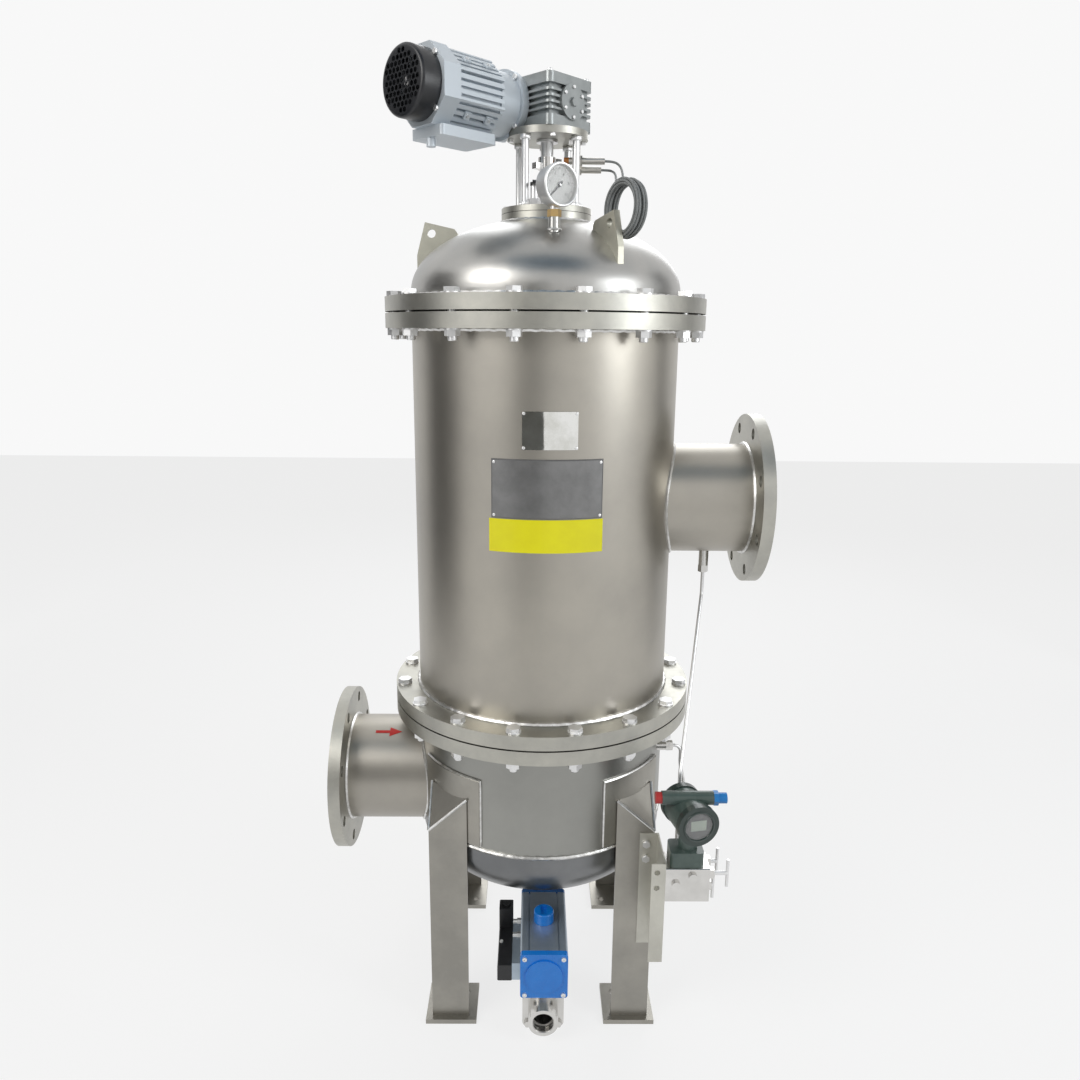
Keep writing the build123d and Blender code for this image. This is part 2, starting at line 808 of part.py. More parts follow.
# Stand: four rods between the flange and the top plate, and the screws under that plate
with BuildPart() as stand_rods:
    with BuildSketch(Plane.XY.offset(stand_foot_z)):
        with PolarLocations(stand_rod_reach, 4, start_angle=stand_rod_phase):
            Circle(stand_rod_radius)
    extrude(amount=stand_height)
    with BuildSketch(Plane.XY.offset(top_plate_z)):
        with PolarLocations(plate_screw_reach, 4, start_angle=plate_screw_phase):
            RegularPolygon(plate_screw_radius, 6)
    extrude(amount=-plate_screw_height)
stand_rods.part.label = "stand_rods"
export_step(stand_rods.part, "parts/stand_rods.step")

# Round top plate under the gearbox
with BuildPart() as drive_top_plate:
    with BuildSketch(Plane.XY.offset(top_plate_z)):
        Circle(top_plate_radius)
        Circle(shaft_passage, mode=Mode.SUBTRACT)
    extrude(amount=top_plate_thickness)
drive_top_plate.part.label = "drive_top_plate"
export_step(drive_top_plate.part, "parts/drive_top_plate.step")

# Gearbox housing: two square plates, a core with level fins, the wheel's room and the worm's room
gear_middle = (gear_front + gear_back) / 2
gear_width = gear_front - gear_back
fin_space = (gear_height - 2 * gear_plate) / (gear_fin_count + 1)
with BuildPart() as gearbox_housing:
    for plate_z in (gear_bottom_z, gear_top_z - gear_plate):
        with BuildSketch(gear_plane(plate_z)):
            with Locations((0, gear_middle)):
                RectangleRounded(2 * gear_half_length, gear_width, gear_corner)
        extrude(amount=gear_plate)
    with BuildSketch(gear_plane(gear_bottom_z)):
        with Locations((0, gear_middle)):
            Rectangle(2 * (gear_half_length - gear_core_inset), gear_width - 2 * gear_core_inset)
    extrude(amount=gear_height)
    for fin in range(gear_fin_count):
        fin_z = gear_bottom_z + gear_plate + (fin + 1) * fin_space - gear_fin_thickness / 2
        with BuildSketch(gear_plane(fin_z)):
            with Locations((0, gear_middle)):
                RectangleRounded(2 * gear_half_length, gear_width, gear_corner)
        extrude(amount=gear_fin_thickness)
    with BuildSketch(motor_plane(0)):
        Circle(side_cover_radius)
    extrude(amount=gear_half_length)
    with BuildSketch(gear_plane(gear_bottom_z)):
        Circle(shaft_radius + running_fit)
    extrude(amount=gear_height, mode=Mode.SUBTRACT)
    with BuildSketch(gear_plane(worm_z - wheel_width / 2 - wheel_room)):
        Circle(wheel_radius + wheel_room)
    extrude(amount=wheel_width + 2 * wheel_room, mode=Mode.SUBTRACT)
    with BuildSketch(motor_plane(-worm_length / 2 - worm_room)):
        Circle(worm_radius + worm_room)
    extrude(amount=worm_length + 2 * worm_room, mode=Mode.SUBTRACT)
    with BuildSketch(motor_plane(-worm_shaft_back - worm_room)):
        Circle(worm_shaft_radius + running_fit)
    extrude(amount=worm_shaft_back + worm_room + gear_half_length, mode=Mode.SUBTRACT)
    with BuildSketch(gear_plane(gear_top_z)):
        Circle(gear_cover_radius)
    extrude(amount=gear_cover_thickness)
    cover_side = Plane(
        origin=gear_plane(worm_z).from_local_coords((0, gear_front - gear_core_inset, 0)),
        x_dir=(drive_x, drive_y, 0), z_dir=(side_x, side_y, 0),
    )
    with BuildSketch(cover_side):
        Circle(side_cover_radius)
    extrude(amount=gear_core_inset + side_cover_thickness)
    with BuildSketch(cover_side.offset(gear_core_inset + side_cover_thickness)):
        RegularPolygon(oil_plug_radius, 6)
    extrude(amount=oil_plug_length)
gearbox_housing.part.label = "gearbox_housing"
export_step(gearbox_housing.part, "parts/gearbox_housing.step")

# Motor end shields: the front one with its adapter flange, and the rear one
with BuildPart() as motor_end_shields:
    with BuildSketch(motor_plane(gear_half_length)):
        Circle(adapter_radius)
    extrude(amount=adapter_length)
    with BuildSketch(motor_plane(gear_half_length + adapter_length)):
        Circle(shield_radius)
    extrude(amount=shield_end - gear_half_length - adapter_length)
    with BuildSketch(motor_plane(frame_end)):
        RegularPolygon(rear_shield_flats / 2, 8, major_radius=False, rotation=22.5)
    extrude(amount=rear_shield_end - frame_end)
    with BuildSketch(motor_plane(gear_half_length)):
        Circle(worm_shaft_radius + running_fit)
    extrude(amount=rear_shield_end - gear_half_length, mode=Mode.SUBTRACT)
    with BuildSketch(Plane.XY.offset(gear_bottom_z + free_gap)):
        Circle(top_plate_radius + free_gap)
    extrude(amount=-adapter_radius, mode=Mode.SUBTRACT)
motor_end_shields.part.label = "motor_end_shields"
export_step(motor_end_shields.part, "parts/motor_end_shields.step")

# Finned motor frame
with BuildPart() as motor_frame:
    with BuildSketch(motor_plane(shield_end)):
        RegularPolygon(frame_flats / 2, 8, major_radius=False, rotation=22.5)
        with PolarLocations(frame_flats / 2, frame_groove_count, start_angle=180 / frame_groove_count):
            Rectangle(2 * frame_groove_depth, frame_groove_width, mode=Mode.SUBTRACT)
        Circle(worm_shaft_radius + free_gap, mode=Mode.SUBTRACT)
    extrude(amount=frame_end - shield_end)
motor_frame.part.label = "motor_frame"
export_step(motor_frame.part, "parts/motor_frame.step")

# Fan cover with a grille of radial slots
with BuildPart() as fan_cover:
    with BuildSketch(motor_plane(rear_shield_end)):
        Circle(fan_cover_radius)
    extrude(amount=fan_cover_end - rear_shield_end)
    with BuildSketch(motor_plane(rear_shield_end)):
        Circle(fan_cover_radius - fan_cover_wall)
    extrude(amount=fan_cover_end - rear_shield_end - fan_cover_wall, mode=Mode.SUBTRACT)
    with BuildSketch(motor_plane(fan_cover_end)):
        with PolarLocations(grille_slot_reach, grille_slot_count):
            Rectangle(grille_slot_length, grille_slot_width)
    extrude(amount=-2 * fan_cover_wall, mode=Mode.SUBTRACT)
fan_cover.part.label = "fan_cover"
export_step(fan_cover.part, "parts/fan_cover.step")

# Terminal box under the motor with its cable gland
frame_bottom_z = worm_z - frame_flats / 2
rear_bottom_z = worm_z - rear_shield_flats / 2
with BuildPart() as terminal_box:
    with BuildSketch(box_plane(frame_bottom_z - box_depth)):
        with Locations(((box_start + box_end) / 2, 0)):
            RectangleRounded(box_end - box_start, box_width, box_corner)
    extrude(amount=rear_bottom_z - frame_bottom_z + box_depth)
    with BuildSketch(box_plane(rear_bottom_z)):
        with Locations(((box_start + frame_end) / 2, 0)):
            Rectangle(frame_end - box_start, frame_flats * tan(radians(22.5)))
    extrude(amount=frame_bottom_z - rear_bottom_z)
    with BuildSketch(box_plane(frame_bottom_z - box_depth)):
        with Locations((box_gland_place, 0)):
            Circle(box_gland_radius)
    extrude(amount=-box_gland_length)
terminal_box.part.label = "terminal_box"
export_step(terminal_box.part, "parts/terminal_box.step")

# Sensor bracket: an angle plate hanging from the top plate
with BuildPart() as sensor_bracket:
    bracket_middle_y = sensor_bracket_front_y + sensor_bracket_width / 2
    with BuildSketch(Plane.YZ.offset(sensor_bracket_x)):
        with Locations((bracket_middle_y, (sensor_bracket_bottom_z + top_plate_z) / 2)):
            Rectangle(sensor_bracket_width, top_plate_z - sensor_bracket_bottom_z)
        with Locations((sensor_upper_y, sensor_upper_z), (sensor_lower_y, sensor_lower_z)):
            Circle(sensor_radius, mode=Mode.SUBTRACT)
    extrude(amount=sensor_bracket_thickness)
    with BuildSketch(Plane.XY.offset(top_plate_z)):
        with Locations((sensor_bracket_x - sensor_bracket_foot / 2, bracket_middle_y)):
            Rectangle(sensor_bracket_foot, sensor_bracket_width)
    extrude(amount=-sensor_bracket_thickness)
sensor_bracket.part.label = "sensor_bracket"
export_step(sensor_bracket.part, "parts/sensor_bracket.step")

# Two proximity sensors with a nut on either side of the bracket
sensors = (
    (sensor_upper_y, sensor_upper_z, sensor_upper_length),
    (sensor_lower_y, sensor_lower_z, sensor_lower_length),
)
with BuildPart() as proximity_sensors:
    for sensor_y, sensor_z, sensor_length in sensors:
        with BuildSketch(Plane.YZ.offset(sensor_tip_x)):
            with Locations((sensor_y, sensor_z)):
                Circle(sensor_radius)
        extrude(amount=sensor_length)
        with BuildSketch(Plane.YZ.offset(sensor_bracket_x - sensor_nut_width)):
            with Locations((sensor_y, sensor_z)):
                RegularPolygon(sensor_nut_flats / 2, 6, major_radius=False)
        extrude(amount=sensor_nut_width)
        with BuildSketch(Plane.YZ.offset(sensor_bracket_x + sensor_bracket_thickness)):
            with Locations((sensor_y, sensor_z)):
                RegularPolygon(sensor_nut_flats / 2, 6, major_radius=False)
        extrude(amount=sensor_nut_width)
proximity_sensors.part.label = "proximity_sensors"
export_step(proximity_sensors.part, "parts/proximity_sensors.step")


def lead_tube(route):
    """Solid of a lead along straight runs joined by tangent arcs."""
    radii = corner_radii(route)
    with BuildPart() as lead:
        with BuildLine() as path:
            FilletPolyline(*route, radius=radii)
        run = path.wire()
        with BuildSketch(Plane(origin=run @ 0, z_dir=run % 0)):
            Circle(lead_radius)
        sweep(path=run)
    print("lead length", round(run.length, 1), "radii", [round(radius, 1) for radius in radii])
    print("volume ratio", round(lead.part.volume / (pi * lead_radius**2 * run.length), 4))
    return lead


def lead_coil(place):
    """Closed ring of a coiled lead, hung flat against the lug plate."""
    lug = radial_plane(coil_lug_angle)
    ring_plane = Plane(
        origin=lug.from_local_coords((coil_reach, coil_z, -place)), x_dir=lug.x_dir, z_dir=lug.z_dir,
    )
    with BuildPart() as ring:
        with BuildSketch(Plane(origin=ring_plane.origin, x_dir=ring_plane.x_dir, z_dir=Vector(0, 0, 1))):
            with Locations((coil_radius, 0)):
                Circle(coil_section)
        revolve(axis=Axis(ring_plane.origin, ring_plane.z_dir))
    return ring


# Leads of the two sensors
sensor_lead_upper = lead_tube(lead_upper_route)
sensor_lead_upper.part.label = "sensor_lead_upper"
export_step(sensor_lead_upper.part, "parts/sensor_lead_upper.step")

sensor_lead_lower = lead_tube(lead_lower_route)
sensor_lead_lower.part.label = "sensor_lead_lower"
export_step(sensor_lead_lower.part, "parts/sensor_lead_lower.step")

# Coils of the two leads, one behind the other on the lug
coil_near_place = lug_thickness / 2 + coil_gap + coil_section
coil_far_place = coil_near_place + 2 * coil_section + coil_gap
sensor_coil_lower = lead_coil(coil_near_place)
sensor_coil_lower.part.label = "sensor_coil_lower"
export_step(sensor_coil_lower.part, "parts/sensor_coil_lower.step")

sensor_coil_upper = lead_coil(coil_far_place)
sensor_coil_upper.part.label = "sensor_coil_upper"
export_step(sensor_coil_upper.part, "parts/sensor_coil_upper.step")

# Gauge boss on the cover and its brass connector
with BuildPart() as gauge_connector:
    with BuildSketch(Plane.XY.offset(cover_tangent_z)):
        with Locations((gauge_x, gauge_y)):
            Circle(gauge_boss_radius)
            Circle(gauge_bore, mode=Mode.SUBTRACT)
    extrude(amount=gauge_boss_top_z - cover_tangent_z)
    add(vessel_form.part, mode=Mode.SUBTRACT)
    with BuildSketch(Plane.XY.offset(gauge_boss_top_z)):
        with Locations((gauge_x, gauge_y)):
            RegularPolygon(gauge_nut_flats / 2, 6, major_radius=False)
    extrude(amount=gauge_nut_height)
gauge_connector.part.label = "gauge_connector"
export_step(gauge_connector.part, "parts/gauge_connector.step")

# Gauge case with its bezel, dial recess, pointer pin and stem
gauge_face_x = sin(radians(gauge_turn))
gauge_face_y = -cos(radians(gauge_turn))


def gauge_plane(reach):
    """Plane along the gauge's face, its y up, at a distance in front of the stem."""
    place = (gauge_x + reach * gauge_face_x, gauge_y + reach * gauge_face_y, gauge_centre_z)
    return Plane(origin=place, x_dir=(-gauge_face_y, gauge_face_x, 0), z_dir=(gauge_face_x, gauge_face_y, 0))


gauge_dial = gauge_front - gauge_recess_depth
with BuildPart() as gauge_case:
    with BuildSketch(gauge_plane(gauge_front)):
        Circle(gauge_case_radius)
    extrude(amount=-gauge_depth)
    with BuildSketch(gauge_plane(gauge_front)):
        Circle(gauge_bezel_radius)
    extrude(amount=-gauge_bezel_depth)
    with BuildSketch(gauge_plane(gauge_front)):
        Circle(gauge_recess_radius)
    extrude(amount=-gauge_recess_depth, mode=Mode.SUBTRACT)
    with BuildSketch(gauge_plane(gauge_dial)):
        Circle(gauge_pin_radius)
    extrude(amount=gauge_pin_length)
    with BuildSketch(Plane.XY.offset(gauge_boss_top_z + gauge_nut_height)):
        with Locations((gauge_x, gauge_y)):
            Circle(gauge_stem_radius)
    extrude(amount=gauge_centre_z - gauge_case_radius / 2 - gauge_boss_top_z - gauge_nut_height)
gauge_case.part.label = "gauge_case"
export_step(gauge_case.part, "parts/gauge_case.step")

# Gauge pointer on its pin
with BuildPart() as gauge_pointer:
    face = gauge_plane(gauge_dial + free_gap)
    pointer_turn = radians(pointer_angle)
    pointer_dir = face.x_dir * cos(pointer_turn) + face.y_dir * sin(pointer_turn)
    with BuildSketch(Plane(origin=face.origin, x_dir=pointer_dir, z_dir=face.z_dir)):
        with BuildLine():
            Polyline(
                (-pointer_tail, pointer_root_width / 2), (-pointer_tail, -pointer_root_width / 2),
                (0, -pointer_root_width / 2), (pointer_length, -pointer_tip_width / 2),
                (pointer_length, pointer_tip_width / 2), (0, pointer_root_width / 2), close=True,
            )
        make_face()
        Circle(pointer_hub_radius)
        Circle(gauge_pin_radius + running_fit, mode=Mode.SUBTRACT)
    extrude(amount=pointer_thickness)
gauge_pointer.part.label = "gauge_pointer"
export_step(gauge_pointer.part, "parts/gauge_pointer.step")

# Vent cock with the pin of its lever
vent_top_z = stand_foot_z + vent_nut_height + vent_body_height
with BuildPart() as vent_valve:
    with BuildSketch(Plane.XY.offset(stand_foot_z)):
        with Locations((vent_x, vent_y)):
            RegularPolygon(vent_nut_flats / 2, 6, major_radius=False)
    extrude(amount=vent_nut_height)
    with BuildSketch(Plane.XY.offset(stand_foot_z + vent_nut_height)):
        with Locations((vent_x, vent_y)):
            Circle(vent_body_radius)
    extrude(amount=vent_body_height)
    with BuildSketch(Plane.XY.offset(vent_top_z)):
        with Locations((vent_x, vent_y)):
            Circle(vent_pin_radius)
    extrude(amount=vent_pin_height)
vent_valve.part.label = "vent_valve"
export_step(vent_valve.part, "parts/vent_valve.step")

# Lever of the vent cock
with BuildPart() as vent_lever:
    with BuildSketch(Plane.XY.offset(vent_top_z + near_gap)):
        with Locations((vent_x, vent_y - vent_lever_length / 2)):
            Rectangle(vent_lever_width, vent_lever_length)
        with Locations((vent_x, vent_y)):
            Circle(vent_lever_hub_radius)
            Circle(vent_pin_radius + running_fit, mode=Mode.SUBTRACT)
    extrude(amount=vent_lever_height)
vent_lever.part.label = "vent_lever"
export_step(vent_lever.part, "parts/vent_lever.step")

# Drain pipe: down from the bottom head and round to the front
with BuildPart() as drain_pipe:
    with BuildLine() as drain_path:
        FilletPolyline(
            (drain_x, 0, bottom_tangent_z - head_depth), (drain_x, 0, drain_z),
            (drain_x, valve_inlet_y, drain_z),
            radius=drain_bend,
        )
    with BuildSketch(Plane.XY.offset(bottom_tangent_z - head_depth)):
        with Locations((drain_x, 0)):
            Circle(drain_radius)
            Circle(drain_radius - drain_wall, mode=Mode.SUBTRACT)
    sweep(path=drain_path.wire())
drain_pipe.part.label = "drain_pipe"
export_step(drain_pipe.part, "parts/drain_pipe.step")


def front_plane(y):
    """Upright plane that faces the front, its x to the right and its y up."""
    return Plane.XZ.offset(-y)


# Ball valve body with its square flanges, screws, threaded end and mounting pad
with BuildPart() as valve_body:
    with BuildSketch(front_plane(valve_inlet_y)):
        with Locations((drain_x, drain_z)):
            Circle(valve_end_radius)
    extrude(amount=valve_inlet_y - valve_outlet_y)
    with BuildSketch(front_plane(valve_y + valve_body_half)):
        with Locations((drain_x, drain_z)):
            Circle(valve_body_radius)
    extrude(amount=2 * valve_body_half)
    for square_y in (valve_y + valve_body_half + valve_square_thickness, valve_y - valve_body_half):
        with BuildSketch(front_plane(square_y)):
            with Locations((drain_x, drain_z)):
                RectangleRounded(valve_square, valve_square, valve_square_corner)
        extrude(amount=valve_square_thickness)
    with BuildSketch(front_plane(valve_y - valve_body_half - valve_square_thickness)):
        with Locations((drain_x, drain_z)):
            with GridLocations(2 * valve_bolt_reach, 2 * valve_bolt_reach, 2, 2):
                RegularPolygon(valve_bolt_flats / 2, 6, major_radius=False)
    extrude(amount=valve_bolt_height)
    with BuildSketch(Plane.XY.offset(drain_z)):
        with Locations((drain_x, valve_y)):
            Rectangle(pad_block, pad_block)
    extrude(amount=actuator_bottom_z - drain_z)
    with BuildSketch(front_plane(valve_inlet_y)):
        with Locations((drain_x, drain_z)):
            Circle(valve_bore)
    extrude(amount=valve_inlet_y - valve_outlet_y, mode=Mode.SUBTRACT)
    with BuildSketch(front_plane(valve_outlet_y)):
        with Locations((drain_x, drain_z)):
            Circle(valve_thread_radius)
    extrude(amount=-valve_thread_depth, mode=Mode.SUBTRACT)
    with Locations((drain_x, valve_y, drain_z)):
        Sphere(ball_radius + ball_room, mode=Mode.SUBTRACT)
    with BuildSketch(Plane.XY.offset(drain_z)):
        with Locations((drain_x, valve_y)):
            Circle(stem_radius + running_fit)
    extrude(amount=actuator_bottom_z - drain_z, mode=Mode.SUBTRACT)
valve_body.part.label = "valve_body"
export_step(valve_body.part, "parts/valve_body.step")

# Ball with its stem and the pinion of the actuator
pinion_bottom_z = piston_z - pinion_height / 2
with BuildPart() as valve_ball:
    with Locations((drain_x, valve_y, drain_z)):
        Sphere(ball_radius)
    with BuildSketch(Plane.XY.offset(drain_z)):
        with Locations((drain_x, valve_y)):
            Circle(stem_radius)
    extrude(amount=actuator_top_z + near_gap - drain_z)
    with BuildSketch(Plane.XY.offset(pinion_bottom_z)):
        with Locations((drain_x, valve_y)):
            Circle(pinion_radius)
    extrude(amount=pinion_height)
    with BuildSketch(front_plane(valve_y + ball_radius)):
        with Locations((drain_x, drain_z)):
            Circle(valve_bore)
    extrude(amount=2 * ball_radius, mode=Mode.SUBTRACT)
valve_ball.part.label = "valve_ball"
export_step(valve_ball.part, "parts/valve_ball.step")

# Position indicator on the stem
with BuildPart() as position_indicator:
    with BuildSketch(Plane.XY.offset(actuator_top_z + near_gap)):
        with Locations((drain_x, valve_y)):
            Circle(indicator_radius)
    extrude(amount=indicator_height)
    fillet(position_indicator.edges().group_by(Axis.Z)[-1], indicator_height / 8)
    with BuildSketch(Plane.XY.offset(actuator_top_z + near_gap + indicator_height)):
        with Locations((drain_x, valve_y)):
            Rectangle(indicator_bar, 2 * indicator_radius - indicator_bar)
    extrude(amount=-indicator_height / 4, mode=Mode.SUBTRACT)
position_indicator.part.label = "position_indicator"
export_step(position_indicator.part, "parts/position_indicator.step")

# Actuator body: a grooved square tube with a round bore and the side pad of the solenoid valve
actuator_rear_y = valve_y + actuator_length / 2
actuator_front_y = valve_y - actuator_length / 2
with BuildPart() as actuator_body:
    with BuildSketch(front_plane(actuator_rear_y)):
        with Locations((drain_x, piston_z)):
            RectangleRounded(actuator_width, actuator_height, actuator_corner)
            Circle(actuator_bore, mode=Mode.SUBTRACT)
        for side in (-1, 1):
            with Locations((drain_x + side * actuator_strip / 2, actuator_top_z)):
                Rectangle(actuator_groove, 2 * actuator_groove, mode=Mode.SUBTRACT)
            for groove in (-1, 0, 1):
                groove_z = piston_z + groove * actuator_height / 4
                with Locations((drain_x + side * actuator_width / 2, groove_z)):
                    Rectangle(2 * actuator_groove, actuator_groove, mode=Mode.SUBTRACT)
    extrude(amount=actuator_length)
    with BuildSketch(Plane.YZ.offset(actuator_left_x + actuator_corner)):
        with Locations((valve_y, actuator_bottom_z + side_pad_height / 2 + actuator_corner)):
            Rectangle(side_pad_length, side_pad_height)
    extrude(amount=-actuator_corner - side_pad_depth)
    with BuildSketch(Plane.XY.offset(actuator_bottom_z)):
        with Locations((drain_x, valve_y)):
            Circle(stem_radius + running_fit)
    extrude(amount=actuator_height, mode=Mode.SUBTRACT)
actuator_body.part.label = "actuator_body"
export_step(actuator_body.part, "parts/actuator_body.step")

# End caps of the actuator
with BuildPart() as actuator_caps:
    for cap_y, outward in ((actuator_front_y, 1), (actuator_rear_y, -1)):
        with BuildSketch(front_plane(cap_y)):
            with Locations((drain_x, piston_z)):
                RectangleRounded(actuator_width, actuator_height, actuator_corner)
        extrude(amount=outward * cap_thickness)
        with BuildSketch(front_plane(cap_y - outward * cap_thickness)):
            with Locations((drain_x, piston_z)):
                Circle(cap_boss_radius)
        extrude(amount=outward * cap_boss_height)
actuator_caps.part.label = "actuator_caps"
export_step(actuator_caps.part, "parts/actuator_caps.step")


def piston(outward):
    """Piston with its rack arm, the front one for 1 and the rear one for -1."""
    inner_y = valve_y - outward * piston_start
    with BuildPart() as body:
        with BuildSketch(front_plane(inner_y)):
            with Locations((drain_x, piston_z)):
                Circle(actuator_bore - near_gap)
        extrude(amount=outward * piston_thickness)
        with BuildSketch(front_plane(inner_y)):
            with Locations((drain_x + outward * (pinion_radius + near_gap + rack_thickness / 2), piston_z)):
                Rectangle(rack_thickness, rack_height)
        extrude(amount=-outward * (piston_start + rack_reach))
    return body


# Pistons of the actuator
piston_front = piston(1)
piston_front.part.label = "piston_front"
export_step(piston_front.part, "parts/piston_front.step")

piston_rear = piston(-1)
piston_rear.part.label = "piston_rear"
export_step(piston_rear.part, "parts/piston_rear.step")

# Solenoid valve with its coil block, the coil's nut and the air fittings
solenoid_bottom_z = actuator_bottom_z
solenoid_top_z = solenoid_bottom_z + solenoid_height
solenoid_x = solenoid_right_x - solenoid_width / 2
with BuildPart() as solenoid_valve:
    with BuildSketch(front_plane(solenoid_front_y + solenoid_length)):
        with Locations((solenoid_x, solenoid_bottom_z + solenoid_height / 2)):
            RectangleRounded(solenoid_width, solenoid_height, solenoid_corner)
    extrude(amount=solenoid_length)
    with BuildSketch(Plane.XY.offset(solenoid_top_z)):
        with Locations((solenoid_x, coil_block_start_y + coil_block_length / 2)):
            RectangleRounded(solenoid_width, coil_block_length, solenoid_corner)
    extrude(amount=coil_block_height)
    with BuildSketch(Plane.XY.offset(solenoid_top_z + coil_block_height)):
        with Locations((solenoid_x, coil_block_start_y + coil_block_length / 2)):
            RegularPolygon(coil_nut_radius, 6)
    extrude(amount=coil_nut_height)
    with BuildSketch(Plane.XY.offset(solenoid_top_z)):
        with Locations((button_x, button_y)):
            Circle(button_radius + running_fit)
    extrude(amount=-button_room, mode=Mode.SUBTRACT)
    for fitting_y in fitting_ys:
        with BuildSketch(Plane.YZ.offset(actuator_left_x)):
            with Locations((fitting_y, fitting_z)):
                RegularPolygon(fitting_radius, 6)
        extrude(amount=-fitting_length)
        with BuildSketch(Plane.YZ.offset(actuator_left_x - fitting_length)):
            with Locations((fitting_y, fitting_z)):
                Circle(fitting_ring_radius)
        extrude(amount=-fitting_ring_length)
solenoid_valve.part.label = "solenoid_valve"
export_step(solenoid_valve.part, "parts/solenoid_valve.step")

# Manual override button of the solenoid valve
with BuildPart() as override_button:
    button_foot = button_room - button_travel - near_gap
    with BuildSketch(Plane.XY.offset(solenoid_top_z - button_foot)):
        with Locations((button_x, button_y)):
            Circle(button_radius)
    extrude(amount=button_foot + button_height)
override_button.part.label = "override_button"
export_step(override_button.part, "parts/override_button.step")

# Transmitter bracket: web, rear flange on the leg and front flange, with bolt holes
with BuildPart() as transmitter_bracket:
    with BuildSketch(Plane.YZ.offset(bracket_web_x)):
        with BuildLine():
            Polyline(
                (-leg_corner, bracket_bottom_z), (bracket_front_y, bracket_front_bottom_z),
                (bracket_front_y, bracket_front_top_z), (-leg_corner, bracket_top_z), close=True,
            )
        make_face()
    extrude(amount=bracket_sheet)
    with BuildSketch(front_plane(-leg_corner)):
        with Locations((bracket_face_x - bracket_rear_width / 2, (bracket_top_z + bracket_bottom_z) / 2)):
            Rectangle(bracket_rear_width, bracket_top_z - bracket_bottom_z)
        for hole_z in bracket_hole_zs:
            with Locations((bracket_web_x - bracket_hole_inset, hole_z)):
                Circle(bracket_hole_radius, mode=Mode.SUBTRACT)
    extrude(amount=bracket_sheet)
    with BuildSketch(front_plane(bracket_front_y + bracket_sheet)):
        front_middle_z = (bracket_front_top_z + bracket_front_bottom_z) / 2
        with Locations((bracket_face_x - bracket_front_width / 2, front_middle_z)):
            Rectangle(bracket_front_width, bracket_front_top_z - bracket_front_bottom_z)
        for hole_z in bracket_hole_zs:
            with Locations((bracket_web_x - bracket_front_width / 2, hole_z)):
                Circle(bracket_hole_radius, mode=Mode.SUBTRACT)
    extrude(amount=bracket_sheet)
transmitter_bracket.part.label = "transmitter_bracket"
export_step(transmitter_bracket.part, "parts/transmitter_bracket.step")

# Manifold block with the bonnets of its valves
manifold_y = manifold_front_y + manifold_depth / 2
with BuildPart() as manifold:
    with BuildSketch(Plane.YZ.offset(bracket_face_x)):
        with Locations((manifold_y, (manifold_bottom_z + manifold_top_z) / 2)):
            RectangleRounded(manifold_depth, manifold_height, manifold_corner)
    extrude(amount=manifold_length)
    for handle_y, handle_z, handle_x in handle_places:
        with BuildSketch(Plane.YZ.offset(manifold_right_x)):
            with Locations((handle_y, handle_z)):
                RegularPolygon(bonnet_flats / 2, 6, major_radius=False)
        extrude(amount=bonnet_length)
        with BuildSketch(Plane.YZ.offset(manifold_right_x + bonnet_length)):
            with Locations((handle_y, handle_z)):
                Circle(handle_stem_radius + running_fit)
        extrude(amount=-handle_seat_depth, mode=Mode.SUBTRACT)
    with BuildSketch(front_plane(manifold_front_y)):
        with Locations(*front_bonnet_places):
            Circle(front_bonnet_radius)
    extrude(amount=front_bonnet_length)
manifold.part.label = "manifold"
export_step(manifold.part, "parts/manifold.step")


def tee_handle(handle_y, handle_z, handle_x):
    """Valve stem with a bar across its end."""
    start_x = manifold_right_x + bonnet_length - handle_seat_depth + near_gap
    with BuildPart() as handle:
        with BuildSketch(Plane.YZ.offset(start_x)):
            with Locations((handle_y, handle_z)):
                Circle(handle_stem_radius)
        extrude(amount=handle_x - start_x)
        with BuildSketch(Plane.XY.offset(handle_z - handle_bar_half)):
            with Locations((handle_x, handle_y)):
                Circle(handle_bar_radius)
        extrude(amount=2 * handle_bar_half)
    return handle


# Handles of the two block valves and of the equalizing valve
handle_high = tee_handle(*handle_places[0])
handle_high.part.label = "handle_high"
export_step(handle_high.part, "parts/handle_high.step")

handle_low = tee_handle(*handle_places[1])
handle_low.part.label = "handle_low"
export_step(handle_low.part, "parts/handle_low.step")

handle_equalizer = tee_handle(*handle_places[2])
handle_equalizer.part.label = "handle_equalizer"
export_step(handle_equalizer.part, "parts/handle_equalizer.step")


def housing_plane(reach):
    """Plane across the transmitter's drum, its y up, at a distance in front of the drum's middle."""
    turn = radians(housing_turn)
    place = (housing_x + reach * sin(turn), transmitter_y - reach * cos(turn), housing_z)
    return Plane(origin=place, x_dir=(cos(turn), sin(turn), 0), z_dir=(sin(turn), -cos(turn), 0))


# Transmitter: sensor capsule, neck, drum and conduit arm
with BuildPart() as transmitter_housing:
    with BuildSketch(Plane.XY.offset(manifold_top_z)):
        with Locations((capsule_x + capsule_width / 2, transmitter_y)):
            RectangleRounded(capsule_width, capsule_depth, capsule_height / 4)
    extrude(amount=capsule_height)
    with BuildSketch(Plane.XY.offset(capsule_top_z)):
        with Locations((housing_x, transmitter_y)):
            Circle(neck_radius)
    extrude(amount=housing_z - capsule_top_z)
    with BuildSketch(housing_plane(-housing_half_length)):
        Circle(housing_radius)
    extrude(amount=2 * housing_half_length)
    with BuildSketch(Plane.YZ.offset(conduit_left_x)):
        with Locations((transmitter_y, conduit_z)):
            Circle(conduit_radius)
    extrude(amount=conduit_length)
transmitter_housing.part.label = "transmitter_housing"
export_step(transmitter_housing.part, "parts/transmitter_housing.step")

